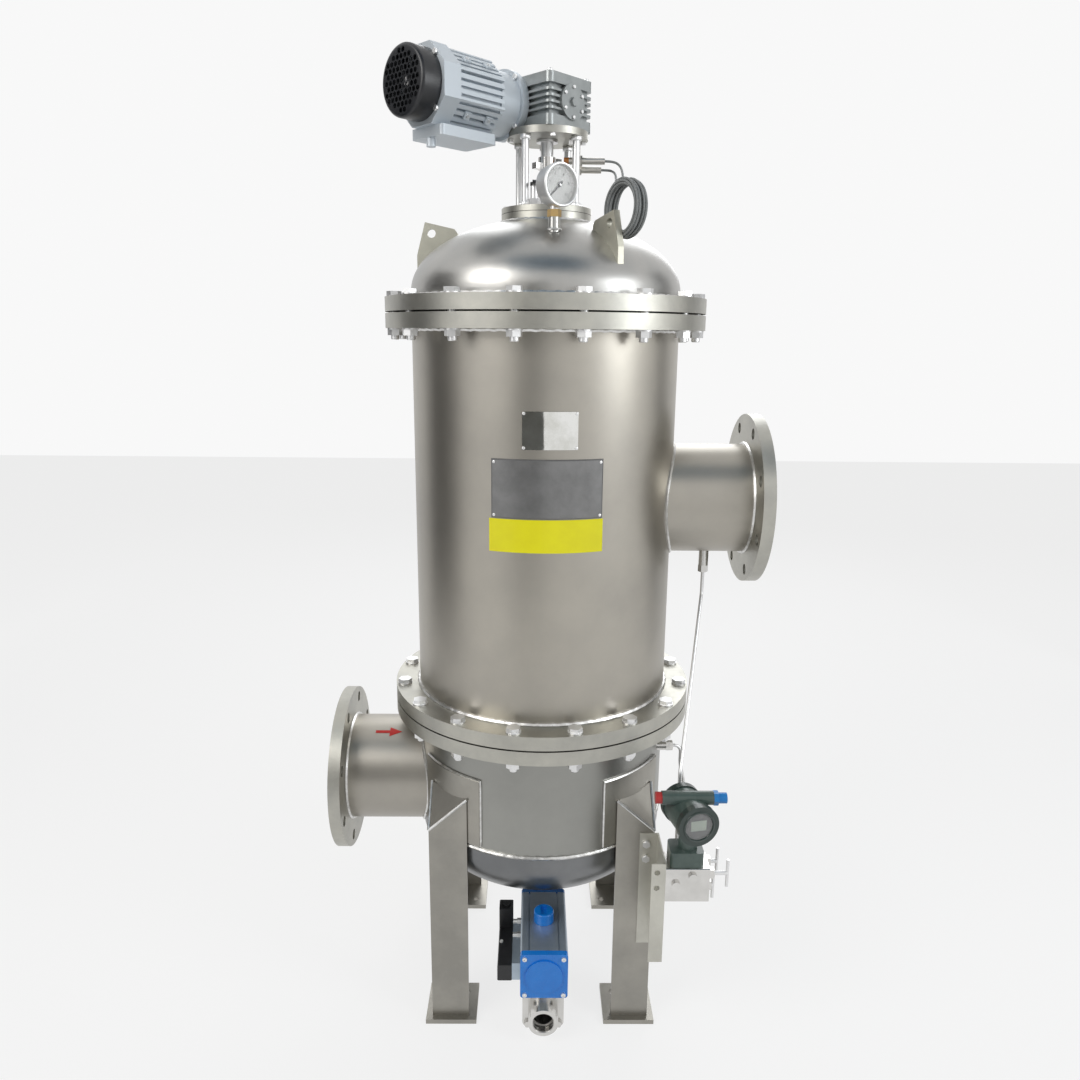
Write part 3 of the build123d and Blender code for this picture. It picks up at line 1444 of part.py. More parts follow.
# Covers of the transmitter, the front one with the recess of its window
with BuildPart() as transmitter_covers:
    with BuildSketch(housing_plane(housing_half_length)):
        Circle(housing_cover_radius)
    extrude(amount=housing_cover_length)
    with BuildSketch(housing_plane(housing_half_length + housing_cover_length)):
        Circle(window_radius)
    extrude(amount=-window_depth, mode=Mode.SUBTRACT)
    with BuildSketch(housing_plane(-housing_half_length)):
        Circle(housing_cover_radius)
    extrude(amount=-housing_cover_length)
transmitter_covers.part.label = "transmitter_covers"
export_step(transmitter_covers.part, "parts/transmitter_covers.step")

# Plug on the left end of the conduit arm and cable gland on the right end
conduit_right_x = conduit_left_x + conduit_length
with BuildPart() as conduit_fittings:
    with BuildSketch(Plane.YZ.offset(conduit_left_x)):
        with Locations((transmitter_y, conduit_z)):
            Circle(plug_radius)
    extrude(amount=-plug_length)
    with BuildSketch(Plane.YZ.offset(conduit_right_x)):
        with Locations((transmitter_y, conduit_z)):
            RegularPolygon(gland_flats / 2, 6, major_radius=False)
    extrude(amount=gland_flange_length)
    with BuildSketch(Plane.YZ.offset(conduit_right_x + gland_flange_length)):
        with Locations((transmitter_y, conduit_z)):
            Circle(gland_radius)
    extrude(amount=gland_length)
conduit_fittings.part.label = "conduit_fittings"
export_step(conduit_fittings.part, "parts/conduit_fittings.step")

# Pressure taps: one under the outlet nozzle and one on the lower shell
outlet_tap_end_z = outlet_z - nozzle_radius - tap_length
shell_tap_x = shell_outer + shell_tap_length
with BuildPart() as pressure_taps:
    with BuildSketch(Plane.XY.offset(outlet_tap_end_z + tap_nut_length)):
        with Locations((outlet_tap_x, 0)):
            Circle(tap_radius)
    extrude(amount=tap_length + nozzle_wall)
    with BuildSketch(Plane.YZ.offset(shell_outer / 2)):
        with Locations((shell_tap_y, shell_tap_z)):
            Circle(tap_radius)
    extrude(amount=shell_outer / 2)
    with BuildSketch(nozzle_plane(1, outlet_z, nozzle_face_x)):
        Circle(nozzle_radius)
    extrude(amount=nozzle_face_x, mode=Mode.SUBTRACT)
    add(vessel_form.part, mode=Mode.SUBTRACT)
    with BuildSketch(Plane.XY.offset(outlet_tap_end_z)):
        with Locations((outlet_tap_x, 0)):
            RegularPolygon(tap_nut_flats / 2, 6, major_radius=False)
    extrude(amount=tap_nut_length)
    with BuildSketch(Plane.YZ.offset(shell_outer)):
        with Locations((shell_tap_y, shell_tap_z)):
            RegularPolygon(tap_nut_flats / 2, 6, major_radius=False)
    extrude(amount=shell_tap_length)
pressure_taps.part.label = "pressure_taps"
export_step(pressure_taps.part, "parts/pressure_taps.step")

# Impulse tubes from the taps to the rear ports of the manifold
tube_routes = (
    (
        (outlet_tap_x, 0, outlet_tap_end_z), (outlet_tap_x, 0, outlet_tube_turn_z),
        (low_tube_x, tube_rear_y, drop_start_z), (low_tube_x, tube_rear_y, tube_port_z),
        (low_tube_x, manifold_rear_y, tube_port_z),
    ),
    (
        (shell_tap_x, shell_tap_y, shell_tap_z), (shell_tube_turn_x, shell_tap_y, shell_tap_z),
        (shell_tube_turn_x, shell_tap_y, shell_tube_drop_z),
        (high_tube_x, tube_rear_y, shell_tube_drop_z - tap_length),
        (high_tube_x, tube_rear_y, tube_port_z), (high_tube_x, manifold_rear_y, tube_port_z),
    ),
)
with BuildPart() as impulse_tubes:
    for route in tube_routes:
        with BuildLine() as tube_path:
            FilletPolyline(*route, radius=tube_bend)
        tube_run = tube_path.wire()
        with BuildSketch(Plane(origin=tube_run @ 0, z_dir=tube_run % 0)):
            Circle(tube_radius)
        sweep(path=tube_run)
impulse_tubes.part.label = "impulse_tubes"
export_step(impulse_tubes.part, "parts/impulse_tubes.step")

# Vertical drive shaft with the collar under the top plate
shaft_foot_z = shelf_z + shaft_foot_lift
shaft_top_z = gear_top_z - near_gap
with BuildPart() as drive_shaft:
    with BuildSketch(Plane.XY.offset(shaft_foot_z)):
        Circle(shaft_radius)
    extrude(amount=shaft_top_z - shaft_foot_z)
    with BuildSketch(Plane.XY.offset(top_plate_z - near_gap)):
        Circle(collar_radius)
    extrude(amount=-collar_height)
drive_shaft.part.label = "drive_shaft"
export_step(drive_shaft.part, "parts/drive_shaft.step")

# Trip cam with a lower and an upper lug for the two sensors
with BuildPart() as trip_cam:
    with BuildSketch(Plane.XY.offset(cam_bottom_z)):
        Circle(cam_hub_radius)
        Circle(shaft_radius, mode=Mode.SUBTRACT)
    extrude(amount=cam_height)
    cam_middle_z = cam_bottom_z + cam_height / 2
    for cam_angle, cam_z in ((cam_lower_angle, cam_bottom_z), (cam_upper_angle, cam_middle_z)):
        with BuildSketch(Plane.XY.offset(cam_z)):
            with PolarLocations((cam_reach + shaft_radius) / 2 + free_gap, 1, start_angle=cam_angle):
                Rectangle(cam_reach - shaft_radius - 2 * free_gap, cam_lug_width)
        extrude(amount=cam_height / 2)
trip_cam.part.label = "trip_cam"
export_step(trip_cam.part, "parts/trip_cam.step")

# Brush rotor: sleeves, arms and holders with brush strips that run inside the basket
brush_bottom_z = bearing_top_z + free_gap + brush_end_gap / 2
brush_top_z = basket_top_z - brush_end_gap
brush_tip = basket_inner - brush_gap
holder_end = brush_holder_reach + brush_holder_thickness
with BuildPart() as brush_rotor:
    for sleeve_z in (brush_bottom_z, brush_top_z - brush_arm_height):
        with BuildSketch(Plane.XY.offset(sleeve_z)):
            Circle(brush_sleeve_radius)
            with PolarLocations(brush_holder_reach / 2, brush_count):
                Rectangle(brush_holder_reach, brush_arm_width)
            Circle(shaft_radius, mode=Mode.SUBTRACT)
        extrude(amount=brush_arm_height)
    with BuildSketch(Plane.XY.offset(brush_bottom_z)):
        with PolarLocations(brush_holder_reach + brush_holder_thickness / 2, brush_count):
            Rectangle(brush_holder_thickness, brush_holder_width)
        with PolarLocations((holder_end + brush_tip) / 2, brush_count):
            Rectangle(brush_tip - holder_end, brush_width)
    extrude(amount=brush_top_z - brush_bottom_z)
brush_rotor.part.label = "brush_rotor"
export_step(brush_rotor.part, "parts/brush_rotor.step")

# Worm wheel
with BuildPart() as worm_wheel:
    with BuildSketch(Plane.XY.offset(worm_z - wheel_width / 2)):
        Circle(wheel_radius)
        Circle(shaft_radius, mode=Mode.SUBTRACT)
    extrude(amount=wheel_width)
worm_wheel.part.label = "worm_wheel"
export_step(worm_wheel.part, "parts/worm_wheel.step")

# Worm shaft, which runs on through the motor to its fan
fan_start = fan_cover_end - fan_cover_wall - fan_end_gap - fan_width
with BuildPart() as worm_shaft:
    with BuildSketch(motor_plane(-worm_shaft_back)):
        Circle(worm_shaft_radius)
    extrude(amount=worm_shaft_back + fan_start + fan_width)
    with BuildSketch(motor_plane(-worm_length / 2)):
        Circle(worm_radius)
    extrude(amount=worm_length)
worm_shaft.part.label = "worm_shaft"
export_step(worm_shaft.part, "parts/worm_shaft.step")

# Motor fan with straight blades
with BuildPart() as motor_fan:
    with BuildSketch(motor_plane(fan_start)):
        Circle(fan_hub_radius)
        with PolarLocations((fan_hub_radius + fan_radius) / 2 - free_gap, fan_blade_count):
            Rectangle(fan_radius - fan_hub_radius + 2 * free_gap, fan_blade_thickness)
        Circle(worm_shaft_radius, mode=Mode.SUBTRACT)
    extrude(amount=fan_width)
motor_fan.part.label = "motor_fan"
export_step(motor_fan.part, "parts/motor_fan.step")
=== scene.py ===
"""Looks of a self-cleaning cooling water filter: finishes, small pieces, camera and light."""
import logging
import math
from dataclasses import dataclass, field
from enum import Enum
from typing import Callable, Iterable, Sequence

import bpy
from mathutils import Matrix, Vector


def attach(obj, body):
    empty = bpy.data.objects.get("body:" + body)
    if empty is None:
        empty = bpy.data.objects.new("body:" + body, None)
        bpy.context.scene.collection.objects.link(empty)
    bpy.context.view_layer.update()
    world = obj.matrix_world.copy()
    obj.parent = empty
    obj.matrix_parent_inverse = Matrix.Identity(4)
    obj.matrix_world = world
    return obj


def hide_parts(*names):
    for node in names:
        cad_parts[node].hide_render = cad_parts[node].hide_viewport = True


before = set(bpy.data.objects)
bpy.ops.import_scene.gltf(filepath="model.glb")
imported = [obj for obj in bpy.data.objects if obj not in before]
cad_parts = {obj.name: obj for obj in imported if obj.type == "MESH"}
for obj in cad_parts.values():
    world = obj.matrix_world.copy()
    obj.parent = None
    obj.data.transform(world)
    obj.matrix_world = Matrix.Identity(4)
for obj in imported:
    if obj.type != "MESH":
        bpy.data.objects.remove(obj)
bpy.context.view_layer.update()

Colour = tuple[float, float, float]
Point = tuple[float, float, float]
log = logging.getLogger("filter")


class Axis(Enum):
    """Axis of Object coordinates along which a finish changes."""

    X = 0
    Y = 1
    Z = 2


class Slot(Enum):
    """Material slots of the record, one given for each new piece."""

    STAINLESS = "stainless"
    MACHINED = "machined"
    BRIGHT = "bright_steel"
    SILVER = "silver_paint"
    MOTOR = "motor_paint"
    BLACK = "black_plastic"
    RUBBER = "black_rubber"
    BLUE = "blue_paint"
    WHITE = "white_plastic"
    DIAL = "dark_steel"
    BRASS = "brass"
    GREEN = "green_paint"


@dataclass(frozen=True)
class Finish:
    """A procedural surface: base colour with cloudy variation, grain, bump and gloss."""

    name: str
    colour: Colour
    shade: Colour
    roughness: float = 0.4
    spread: float = 0.1
    metallic: float = 0.0
    cloud_scale: float = 6.0
    grain: Point = (400.0, 400.0, 400.0)
    bump: float = 0.05
    coat: float = 0.0

    def material(self) -> bpy.types.Material:
        """Build the material, or return it when it exists.

        Returns:
            The procedural material of this finish.
        """
        known = bpy.data.materials.get(self.name)
        if known:
            return known
        material = bpy.data.materials.new(self.name)
        material.use_nodes = True
        tree = material.node_tree
        shader = tree.nodes["Principled BSDF"]
        shader.inputs["Metallic"].default_value = self.metallic
        shader.inputs["Coat Weight"].default_value = self.coat
        place = tree.nodes.new("ShaderNodeTexCoord").outputs["Object"]
        self.paint(tree, shader, place)
        self.texture(tree, shader, place)
        material.diffuse_color = (*self.colour, 1.0)
        return material

    def paint(self, tree: bpy.types.NodeTree, shader: bpy.types.Node, place: bpy.types.NodeSocket) -> None:
        """Give the base colour its cloudy variation.

        Args:
            tree: Node tree of the material.
            shader: Its main shader.
            place: Socket with the Object coordinates.
        """
        tree.links.new(self.clouds(tree, place, self.colour, self.shade), shader.inputs["Base Color"])

    def clouds(
        self, tree: bpy.types.NodeTree, place: bpy.types.NodeSocket, colour: Colour, shade: Colour,
    ) -> bpy.types.NodeSocket:
        """Mix two colours in soft clouds.

        Args:
            tree: Node tree of the material.
            place: Socket with the Object coordinates.
            colour: Main colour.
            shade: Colour of the clouds.

        Returns:
            The socket with the mixed colour.
        """
        noise = tree.nodes.new("ShaderNodeTexNoise")
        noise.inputs["Scale"].default_value = self.cloud_scale
        noise.inputs["Detail"].default_value = 6.0
        noise.inputs["Roughness"].default_value = 0.62
        tree.links.new(place, noise.inputs["Vector"])
        ramp = tree.nodes.new("ShaderNodeValToRGB")
        ramp.color_ramp.elements[0].position = 0.36
        ramp.color_ramp.elements[1].position = 0.66
        ramp.color_ramp.elements[0].color = (*colour, 1.0)
        ramp.color_ramp.elements[1].color = (*shade, 1.0)
        tree.links.new(noise.outputs["Fac"], ramp.inputs["Fac"])
        return ramp.outputs["Color"]

    def texture(self, tree: bpy.types.NodeTree, shader: bpy.types.Node, place: bpy.types.NodeSocket) -> None:
        """Give the surface its grain: varied roughness and a fine bump.

        Args:
            tree: Node tree of the material.
            shader: Its main shader.
            place: Socket with the Object coordinates.
        """
        stretch = tree.nodes.new("ShaderNodeMapping")
        stretch.inputs["Scale"].default_value = self.grain
        tree.links.new(place, stretch.inputs["Vector"])
        grain = tree.nodes.new("ShaderNodeTexNoise")
        grain.inputs["Scale"].default_value = 1.0
        grain.inputs["Detail"].default_value = 3.0
        tree.links.new(stretch.outputs["Vector"], grain.inputs["Vector"])
        spread = tree.nodes.new("ShaderNodeMapRange")
        spread.inputs["To Min"].default_value = max(0.02, self.roughness - self.spread)
        spread.inputs["To Max"].default_value = min(1.0, self.roughness + self.spread)
        tree.links.new(grain.outputs["Fac"], spread.inputs["Value"])
        tree.links.new(spread.outputs["Result"], shader.inputs["Roughness"])
        bump = tree.nodes.new("ShaderNodeBump")
        bump.inputs["Strength"].default_value = self.bump
        bump.inputs["Distance"].default_value = 0.0004
        tree.links.new(grain.outputs["Fac"], bump.inputs["Height"])
        tree.links.new(bump.outputs["Normal"], shader.inputs["Normal"])


@dataclass(frozen=True)
class SplitFinish(Finish):
    """A finish whose colour changes at one place along an axis of the piece."""

    axis: Axis = Axis.X
    place: float = 0.0
    beyond: Colour = (0.5, 0.5, 0.5)
    beyond_metallic: float = 0.0

    def paint(self, tree: bpy.types.NodeTree, shader: bpy.types.Node, place: bpy.types.NodeSocket) -> None:
        """Colour the two stretches of the piece.

        Args:
            tree: Node tree of the material.
            shader: Its main shader.
            place: Socket with the Object coordinates.
        """
        parts = tree.nodes.new("ShaderNodeSeparateXYZ")
        tree.links.new(place, parts.inputs["Vector"])
        past = tree.nodes.new("ShaderNodeMath")
        past.operation = "GREATER_THAN"
        past.inputs[1].default_value = self.place
        tree.links.new(parts.outputs[self.axis.value], past.inputs[0])
        mix = tree.nodes.new("ShaderNodeMix")
        mix.data_type = "RGBA"
        tree.links.new(past.outputs[0], mix.inputs["Factor"])
        tree.links.new(self.clouds(tree, place, self.colour, self.shade), mix.inputs[6])
        tree.links.new(self.clouds(tree, place, self.beyond, self.beyond), mix.inputs[7])
        tree.links.new(mix.outputs[2], shader.inputs["Base Color"])
        if self.metallic != self.beyond_metallic:
            gloss = tree.nodes.new("ShaderNodeMapRange")
            gloss.inputs["To Min"].default_value = self.metallic
            gloss.inputs["To Max"].default_value = self.beyond_metallic
            tree.links.new(past.outputs[0], gloss.inputs["Value"])
            tree.links.new(gloss.outputs["Result"], shader.inputs["Metallic"])


@dataclass(frozen=True)
class GlassFinish:
    """Clear thin glass of the gauge and of the transmitter's window."""

    name: str = "window_glass"
    roughness: float = 0.02

    def material(self) -> bpy.types.Material:
        """Build the glass, or return it when it exists.

        Returns:
            A glossy, mostly transparent material.
        """
        known = bpy.data.materials.get(self.name)
        if known:
            return known
        material = bpy.data.materials.new(self.name)
        material.use_nodes = True
        shader = material.node_tree.nodes["Principled BSDF"]
        shader.inputs["Base Color"].default_value = (1.0, 1.0, 1.0, 1.0)
        shader.inputs["Roughness"].default_value = self.roughness
        shader.inputs["Alpha"].default_value = 0.12
        return material


BLASTED = Finish(
    "blasted_stainless", (0.45, 0.425, 0.375), (0.37, 0.35, 0.315), 0.38, 0.06, 1.0, 3.0, (900.0, 900.0, 900.0), 0.1,
)
HEAD_STEEL = Finish(
    "pickled_head", (0.46, 0.45, 0.43), (0.37, 0.37, 0.36), 0.34, 0.05, 1.0, 5.0, (700.0, 700.0, 700.0), 0.1,
)
TURNED = Finish(
    "turned_flange", (0.5, 0.49, 0.44), (0.38, 0.375, 0.345), 0.4, 0.1, 1.0, 9.0, (90.0, 90.0, 1600.0), 0.12,
)
SHEET = Finish(
    "leg_steel", (0.37, 0.355, 0.32), (0.29, 0.28, 0.255), 0.4, 0.07, 1.0, 7.0, (900.0, 900.0, 60.0), 0.1,
)
LUG_STEEL = Finish(
    "lug_steel", (0.56, 0.55, 0.47), (0.44, 0.43, 0.37), 0.48, 0.08, 0.9, 14.0, (500.0, 500.0, 500.0), 0.12,
)
BRIGHT = Finish(
    "bright_steel", (0.70, 0.70, 0.69), (0.56, 0.56, 0.55), 0.22, 0.08, 1.0, 30.0, (500.0, 500.0, 500.0), 0.05,
)
POLISHED = Finish(
    "cast_polished_steel", (0.7, 0.69, 0.67), (0.6, 0.59, 0.57), 0.22, 0.06, 1.0, 14.0, (250.0, 250.0, 250.0), 0.04,
)
# Painted shade: the lower shell's steel is darker than the upper shell's. It stands in for the dimmer light and darker
# reflections low on the vessel.
LOWER_STEEL = Finish(
    "lower_stainless", (0.33, 0.33, 0.31), (0.27, 0.27, 0.255), 0.36, 0.06, 1.0, 3.0, (900.0, 900.0, 900.0), 0.10,
)
# Painted shade and reflection: the bottom head's steel is darker and bluer still. It stands in for the dark floor that
# the bottom head reflects.
BOTTOM_STEEL = Finish(
    "bottom_head_steel", (0.24, 0.245, 0.25), (0.18, 0.185, 0.19), 0.32, 0.05, 1.0, 5.0, (700.0, 700.0, 700.0), 0.10,
)
WELD = Finish(
    "weld_bead", (0.74, 0.74, 0.73), (0.56, 0.55, 0.53), 0.32, 0.12, 1.0, 90.0, (260.0, 260.0, 260.0), 0.6,
)
GEAR_PAINT = Finish(
    "gearbox_paint", (0.38, 0.4, 0.4), (0.31, 0.33, 0.33), 0.36, 0.08, 0.6, 30.0, (900.0, 900.0, 900.0), 0.15,
)
MOTOR_PAINT = Finish(
    "motor_paint", (0.54, 0.6, 0.66), (0.48, 0.54, 0.6), 0.36, 0.06, 0.35, 25.0, (700.0, 700.0, 700.0), 0.12,
)
BLACK_COVER = Finish(
    "black_cover", (0.012, 0.013, 0.016), (0.022, 0.023, 0.026), 0.34, 0.08, 0.0, 40.0, (900.0, 900.0, 900.0), 0.2,
)
LEAD_GREY = Finish(
    "grey_sheath", (0.2, 0.21, 0.21), (0.26, 0.27, 0.27), 0.5, 0.08, 0.0, 60.0, (900.0, 900.0, 900.0), 0.1,
)
GASKET = Finish(
    "gasket_sheet", (0.03, 0.03, 0.028), (0.06, 0.055, 0.05), 0.75, 0.1, 0.0, 60.0, (700.0, 700.0, 700.0), 0.2,
)
BLUE = Finish(
    "actuator_blue", (0.004, 0.19, 0.68), (0.006, 0.22, 0.74), 0.28, 0.06, 0.0, 40.0, (900.0, 900.0, 900.0), 0.12, 0.3,
)
ANODISED = Finish(
    "grey_anodised", (0.46, 0.53, 0.6), (0.4, 0.47, 0.54), 0.38, 0.06, 0.75, 30.0, (900.0, 60.0, 900.0), 0.1,
)
BRASS = Finish(
    "plain_brass", (0.62, 0.43, 0.19), (0.50, 0.34, 0.15), 0.28, 0.08, 1.0, 60.0, (500.0, 500.0, 500.0), 0.08,
)
GREEN_COVER = Finish(
    "green_grey_cover", (0.018, 0.034, 0.03), (0.026, 0.044, 0.038), 0.3, 0.06, 0.0, 40.0,
    (900.0, 900.0, 900.0), 0.15, 0.3,
)
HOUSING_GREY = Finish(
    "housing_paint", (0.055, 0.085, 0.075), (0.075, 0.11, 0.098), 0.32, 0.06, 0.0, 40.0,
    (900.0, 900.0, 900.0), 0.15, 0.25,
)
BEIGE = Finish(
    "bracket_sheet", (0.6, 0.59, 0.53), (0.5, 0.49, 0.44), 0.42, 0.08, 0.75, 12.0, (700.0, 700.0, 70.0), 0.08,
)
WHITE_DIAL = Finish(
    "white_dial", (0.86, 0.86, 0.84), (0.82, 0.82, 0.80), 0.45, 0.05, 0.0, 60.0, (500.0, 500.0, 500.0), 0.02,
)
YELLOW_STRIP = Finish(
    "yellow_strip", (0.92, 0.86, 0.008), (0.88, 0.81, 0.008), 0.38, 0.05, 0.0, 30.0, (500.0, 500.0, 500.0), 0.03, 0.1,
)
PLATE_GREY = Finish(
    "name_plate_grey", (0.25, 0.25, 0.25), (0.2, 0.2, 0.2), 0.34, 0.06, 0.7, 30.0, (40.0, 40.0, 1500.0), 0.06,
)
PLATE_BORDER = Finish(
    "plate_border", (0.14, 0.14, 0.14), (0.18, 0.18, 0.18), 0.45, 0.05, 0.3, 30.0, (500.0, 500.0, 500.0), 0.03,
)
MIRROR_PLATE = Finish(
    "polished_plate", (0.80, 0.80, 0.78), (0.62, 0.62, 0.58), 0.07, 0.03, 1.0, 26.0, (22.0, 22.0, 22.0), 0.5,
)
RED = Finish(
    "red_mark", (0.62, 0.02, 0.015), (0.55, 0.02, 0.015), 0.42, 0.05, 0.0, 30.0, (500.0, 500.0, 500.0), 0.03,
)
DISPLAY = Finish(
    "display_panel", (0.34, 0.40, 0.33), (0.28, 0.33, 0.28), 0.30, 0.05, 0.0, 30.0, (500.0, 500.0, 500.0), 0.02,
)
BUTTON_WHITE = Finish(
    "button_white", (0.78, 0.78, 0.76), (0.70, 0.70, 0.68), 0.40, 0.05, 0.0, 60.0, (500.0, 500.0, 500.0), 0.02,
)
SENSOR_TIP = SplitFinish(
    "sensor_barrel", (0.52, 0.20, 0.05), (0.45, 0.17, 0.04), 0.34, 0.08, 0.2, 60.0, (900.0, 900.0, 900.0), 0.10,
    axis=Axis.X, place=0.040, beyond=(0.62, 0.60, 0.56), beyond_metallic=1.0,
)
CONDUIT_ENDS = SplitFinish(
    "conduit_ends", (0.50, 0.03, 0.03), (0.44, 0.03, 0.03), 0.36, 0.05, 0.0, 60.0, (900.0, 900.0, 900.0), 0.05,
    axis=Axis.X, place=0.266, beyond=(0.01, 0.20, 0.56),
)
CONNECTOR = SplitFinish(
    "gauge_connector", (0.50, 0.50, 0.48), (0.44, 0.44, 0.42), 0.30, 0.08, 1.0, 60.0, (500.0, 500.0, 500.0), 0.08,
    axis=Axis.Z, place=1.580, beyond=(0.62, 0.43, 0.19), beyond_metallic=1.0,
)
SOLENOID = SplitFinish(
    "solenoid_black", (0.014, 0.014, 0.016), (0.022, 0.022, 0.024), 0.38, 0.08, 0.0, 40.0, (900.0, 900.0, 900.0), 0.12,
    axis=Axis.X, place=-0.0560, beyond=(0.70, 0.70, 0.69), beyond_metallic=1.0,
)


class Bench:
    """Starts, shapes and finishes meshes with the modelling operators."""

    @staticmethod
    def clear() -> None:
        """Leave edit mode and deselect everything."""
        if bpy.context.mode != "OBJECT":
            bpy.ops.object.mode_set(mode="OBJECT")
        bpy.ops.object.select_all(action="DESELECT")

    @staticmethod
    def turn(axis: Sequence[float]) -> tuple[float, float, float]:
        """Return the Euler angles that bring +Z onto an axis."""
        return tuple(Vector(axis).to_track_quat("Z", "Y").to_euler())

    @classmethod
    def drum(
        cls, radius: float, length: float, centre: Sequence[float], axis: Sequence[float] = (0, 0, 1), sides: int = 48,
    ) -> bpy.types.Object:
        """Add a round or many-sided drum.

        Args:
            radius: Radius to the corners.
            length: Length along the axis.
            centre: Middle of the drum.
            axis: Direction of its axis.
            sides: Number of sides.

        Returns:
            The new object, active and selected.
        """
        cls.clear()
        bpy.ops.mesh.primitive_cylinder_add(
            vertices=sides, radius=radius, depth=length, location=centre, rotation=cls.turn(axis),
        )
        return bpy.context.object

    @classmethod
    def block(
        cls, size: Sequence[float], centre: Sequence[float], turn: Sequence[float] = (0, 0, 0),
    ) -> bpy.types.Object:
        """Add a block.

        Args:
            size: Length along each of its own axes.
            centre: Middle of the block.
            turn: Euler angles.

        Returns:
            The new object, active and selected.
        """
        cls.clear()
        bpy.ops.mesh.primitive_cube_add(size=1.0, location=centre, rotation=turn)
        piece = bpy.context.object
        piece.scale = size
        bpy.ops.object.transform_apply(location=False, rotation=False, scale=True)
        return piece

    @classmethod
    def ring(
        cls, radius: float, section: float, centre: Sequence[float], axis: Sequence[float] = (0, 0, 1),
        around: int = 96, across: int = 8,
    ) -> bpy.types.Object:
        """Add a round ring.

        Args:
            radius: Radius to the middle of the section.
            section: Radius of the section.
            centre: Middle of the ring.
            axis: Direction of its axis.
            around: Segments around the ring.
            across: Segments around the section.

        Returns:
            The new object, active and selected.
        """
        cls.clear()
        bpy.ops.mesh.primitive_torus_add(
            major_radius=radius, minor_radius=section, major_segments=around, minor_segments=across,
            location=centre, rotation=cls.turn(axis),
        )
        return bpy.context.object

    @staticmethod
    def pick(piece: bpy.types.Object, test: Callable[[Vector, Vector], bool]) -> int:
        """Select the faces whose centre and normal, in the piece's own space, pass a test.

        Args:
            piece: Mesh in object mode.
            test: Function of the face's centre and normal.

        Returns:
            The number of faces selected.
        """
        bpy.ops.object.mode_set(mode="EDIT")
        bpy.ops.mesh.select_all(action="DESELECT")
        bpy.ops.mesh.select_mode(type="FACE")
        bpy.ops.object.mode_set(mode="OBJECT")
        count = 0
        for polygon in piece.data.polygons:
            polygon.select = test(polygon.center, polygon.normal)
            count += polygon.select
        bpy.ops.object.mode_set(mode="EDIT")
        return count

    @classmethod
    def recess(cls, piece: bpy.types.Object, rim: float, depth: float, far: bool = False) -> None:
        """Inset the upper end face of a piece and push it in, or out for a negative depth.

        Args:
            piece: Piece whose end looks along its own +Z.
            rim: Width of the rim that stays.
            depth: Depth of the recess.
            far: Whether to work on the lower end as well.
        """
        sides = (1.0, -1.0) if far else (1.0,)
        for side in sides:
            cls.pick(piece, lambda centre, normal, s=side: normal.z * s > 0.9)
            bpy.ops.mesh.inset(thickness=rim, depth=0.0)
            bpy.ops.mesh.extrude_region_move(
                TRANSFORM_OT_translate={"value": (0, 0, -side * depth), "orient_type": "NORMAL"}
                if side < 0 else {"value": (0, 0, -depth), "orient_type": "NORMAL"},
            )
            bpy.ops.object.mode_set(mode="OBJECT")

    @staticmethod
    def soften(piece: bpy.types.Object, width: float, segments: int = 2) -> None:
        """Round the sharp edges of a piece with an applied bevel.

        Args:
            piece: Piece in object mode.
            width: Width of the rounding.
            segments: Segments across it.
        """
        bpy.context.view_layer.objects.active = piece
        bevel = piece.modifiers.new("edges", "BEVEL")
        bevel.width = width
        bevel.segments = segments
        bevel.limit_method = "ANGLE"
        bevel.angle_limit = math.radians(35)
        bpy.ops.object.modifier_apply(modifier=bevel.name)

    @staticmethod
    def place(piece: bpy.types.Object, move: Matrix) -> None:
        """Put a piece in its place and keep that place in its mesh.

        Args:
            piece: Piece that was made at the origin.
            move: Its place.
        """
        bpy.context.view_layer.update()
        piece.data.transform(move @ piece.matrix_world)
        piece.matrix_world = Matrix.Identity(4)

    @classmethod
    def join(cls, pieces: Sequence[bpy.types.Object]) -> bpy.types.Object:
        """Join finished shapes into one object.

        Args:
            pieces: Objects to join.

        Returns:
            The joined object.
        """
        cls.clear()
        for piece in pieces:
            piece.select_set(True)
        bpy.context.view_layer.objects.active = pieces[0]
        if len(pieces) > 1:
            bpy.ops.object.join()
        return bpy.context.object

    @classmethod
    def copies(cls, piece: bpy.types.Object, moves: Iterable[Matrix]) -> bpy.types.Object:
        """Repeat a shape, each copy with its own mesh, and join the copies.

        Args:
            piece: Shape to repeat.
            moves: Place of each copy.

        Returns:
            The joined copies, without the first shape.
        """
        cls.place(piece, Matrix.Identity(4))
        made = []
        for move in moves:
            twin = piece.copy()
            twin.data = piece.data.copy()
            twin.data.transform(move)
            bpy.context.collection.objects.link(twin)
            made.append(twin)
        bpy.data.objects.remove(piece)
        return cls.join(made)

    @classmethod
    def bead(cls, points: Sequence[Sequence[float]], section: float, closed: bool = True) -> bpy.types.Object:
        """Lay a round bead along points.

        Args:
            points: Points of the bead.
            section: Radius of the bead.
            closed: Whether it closes on itself.

        Returns:
            The bead as a mesh.
        """
        cls.clear()
        curve = bpy.data.curves.new("bead", "CURVE")
        curve.dimensions = "3D"
        curve.bevel_depth = section
        curve.bevel_resolution = 1
        curve.use_fill_caps = not closed
        spline = curve.splines.new("POLY")
        spline.points.add(len(points) - 1)
        for knot, point in zip(spline.points, points):
            knot.co = (*point, 1.0)
        spline.use_cyclic_u = closed
        piece = bpy.data.objects.new("bead", curve)
        bpy.context.collection.objects.link(piece)
        piece.select_set(True)
        bpy.context.view_layer.objects.active = piece
        bpy.ops.object.convert(target="MESH")
        return bpy.context.object

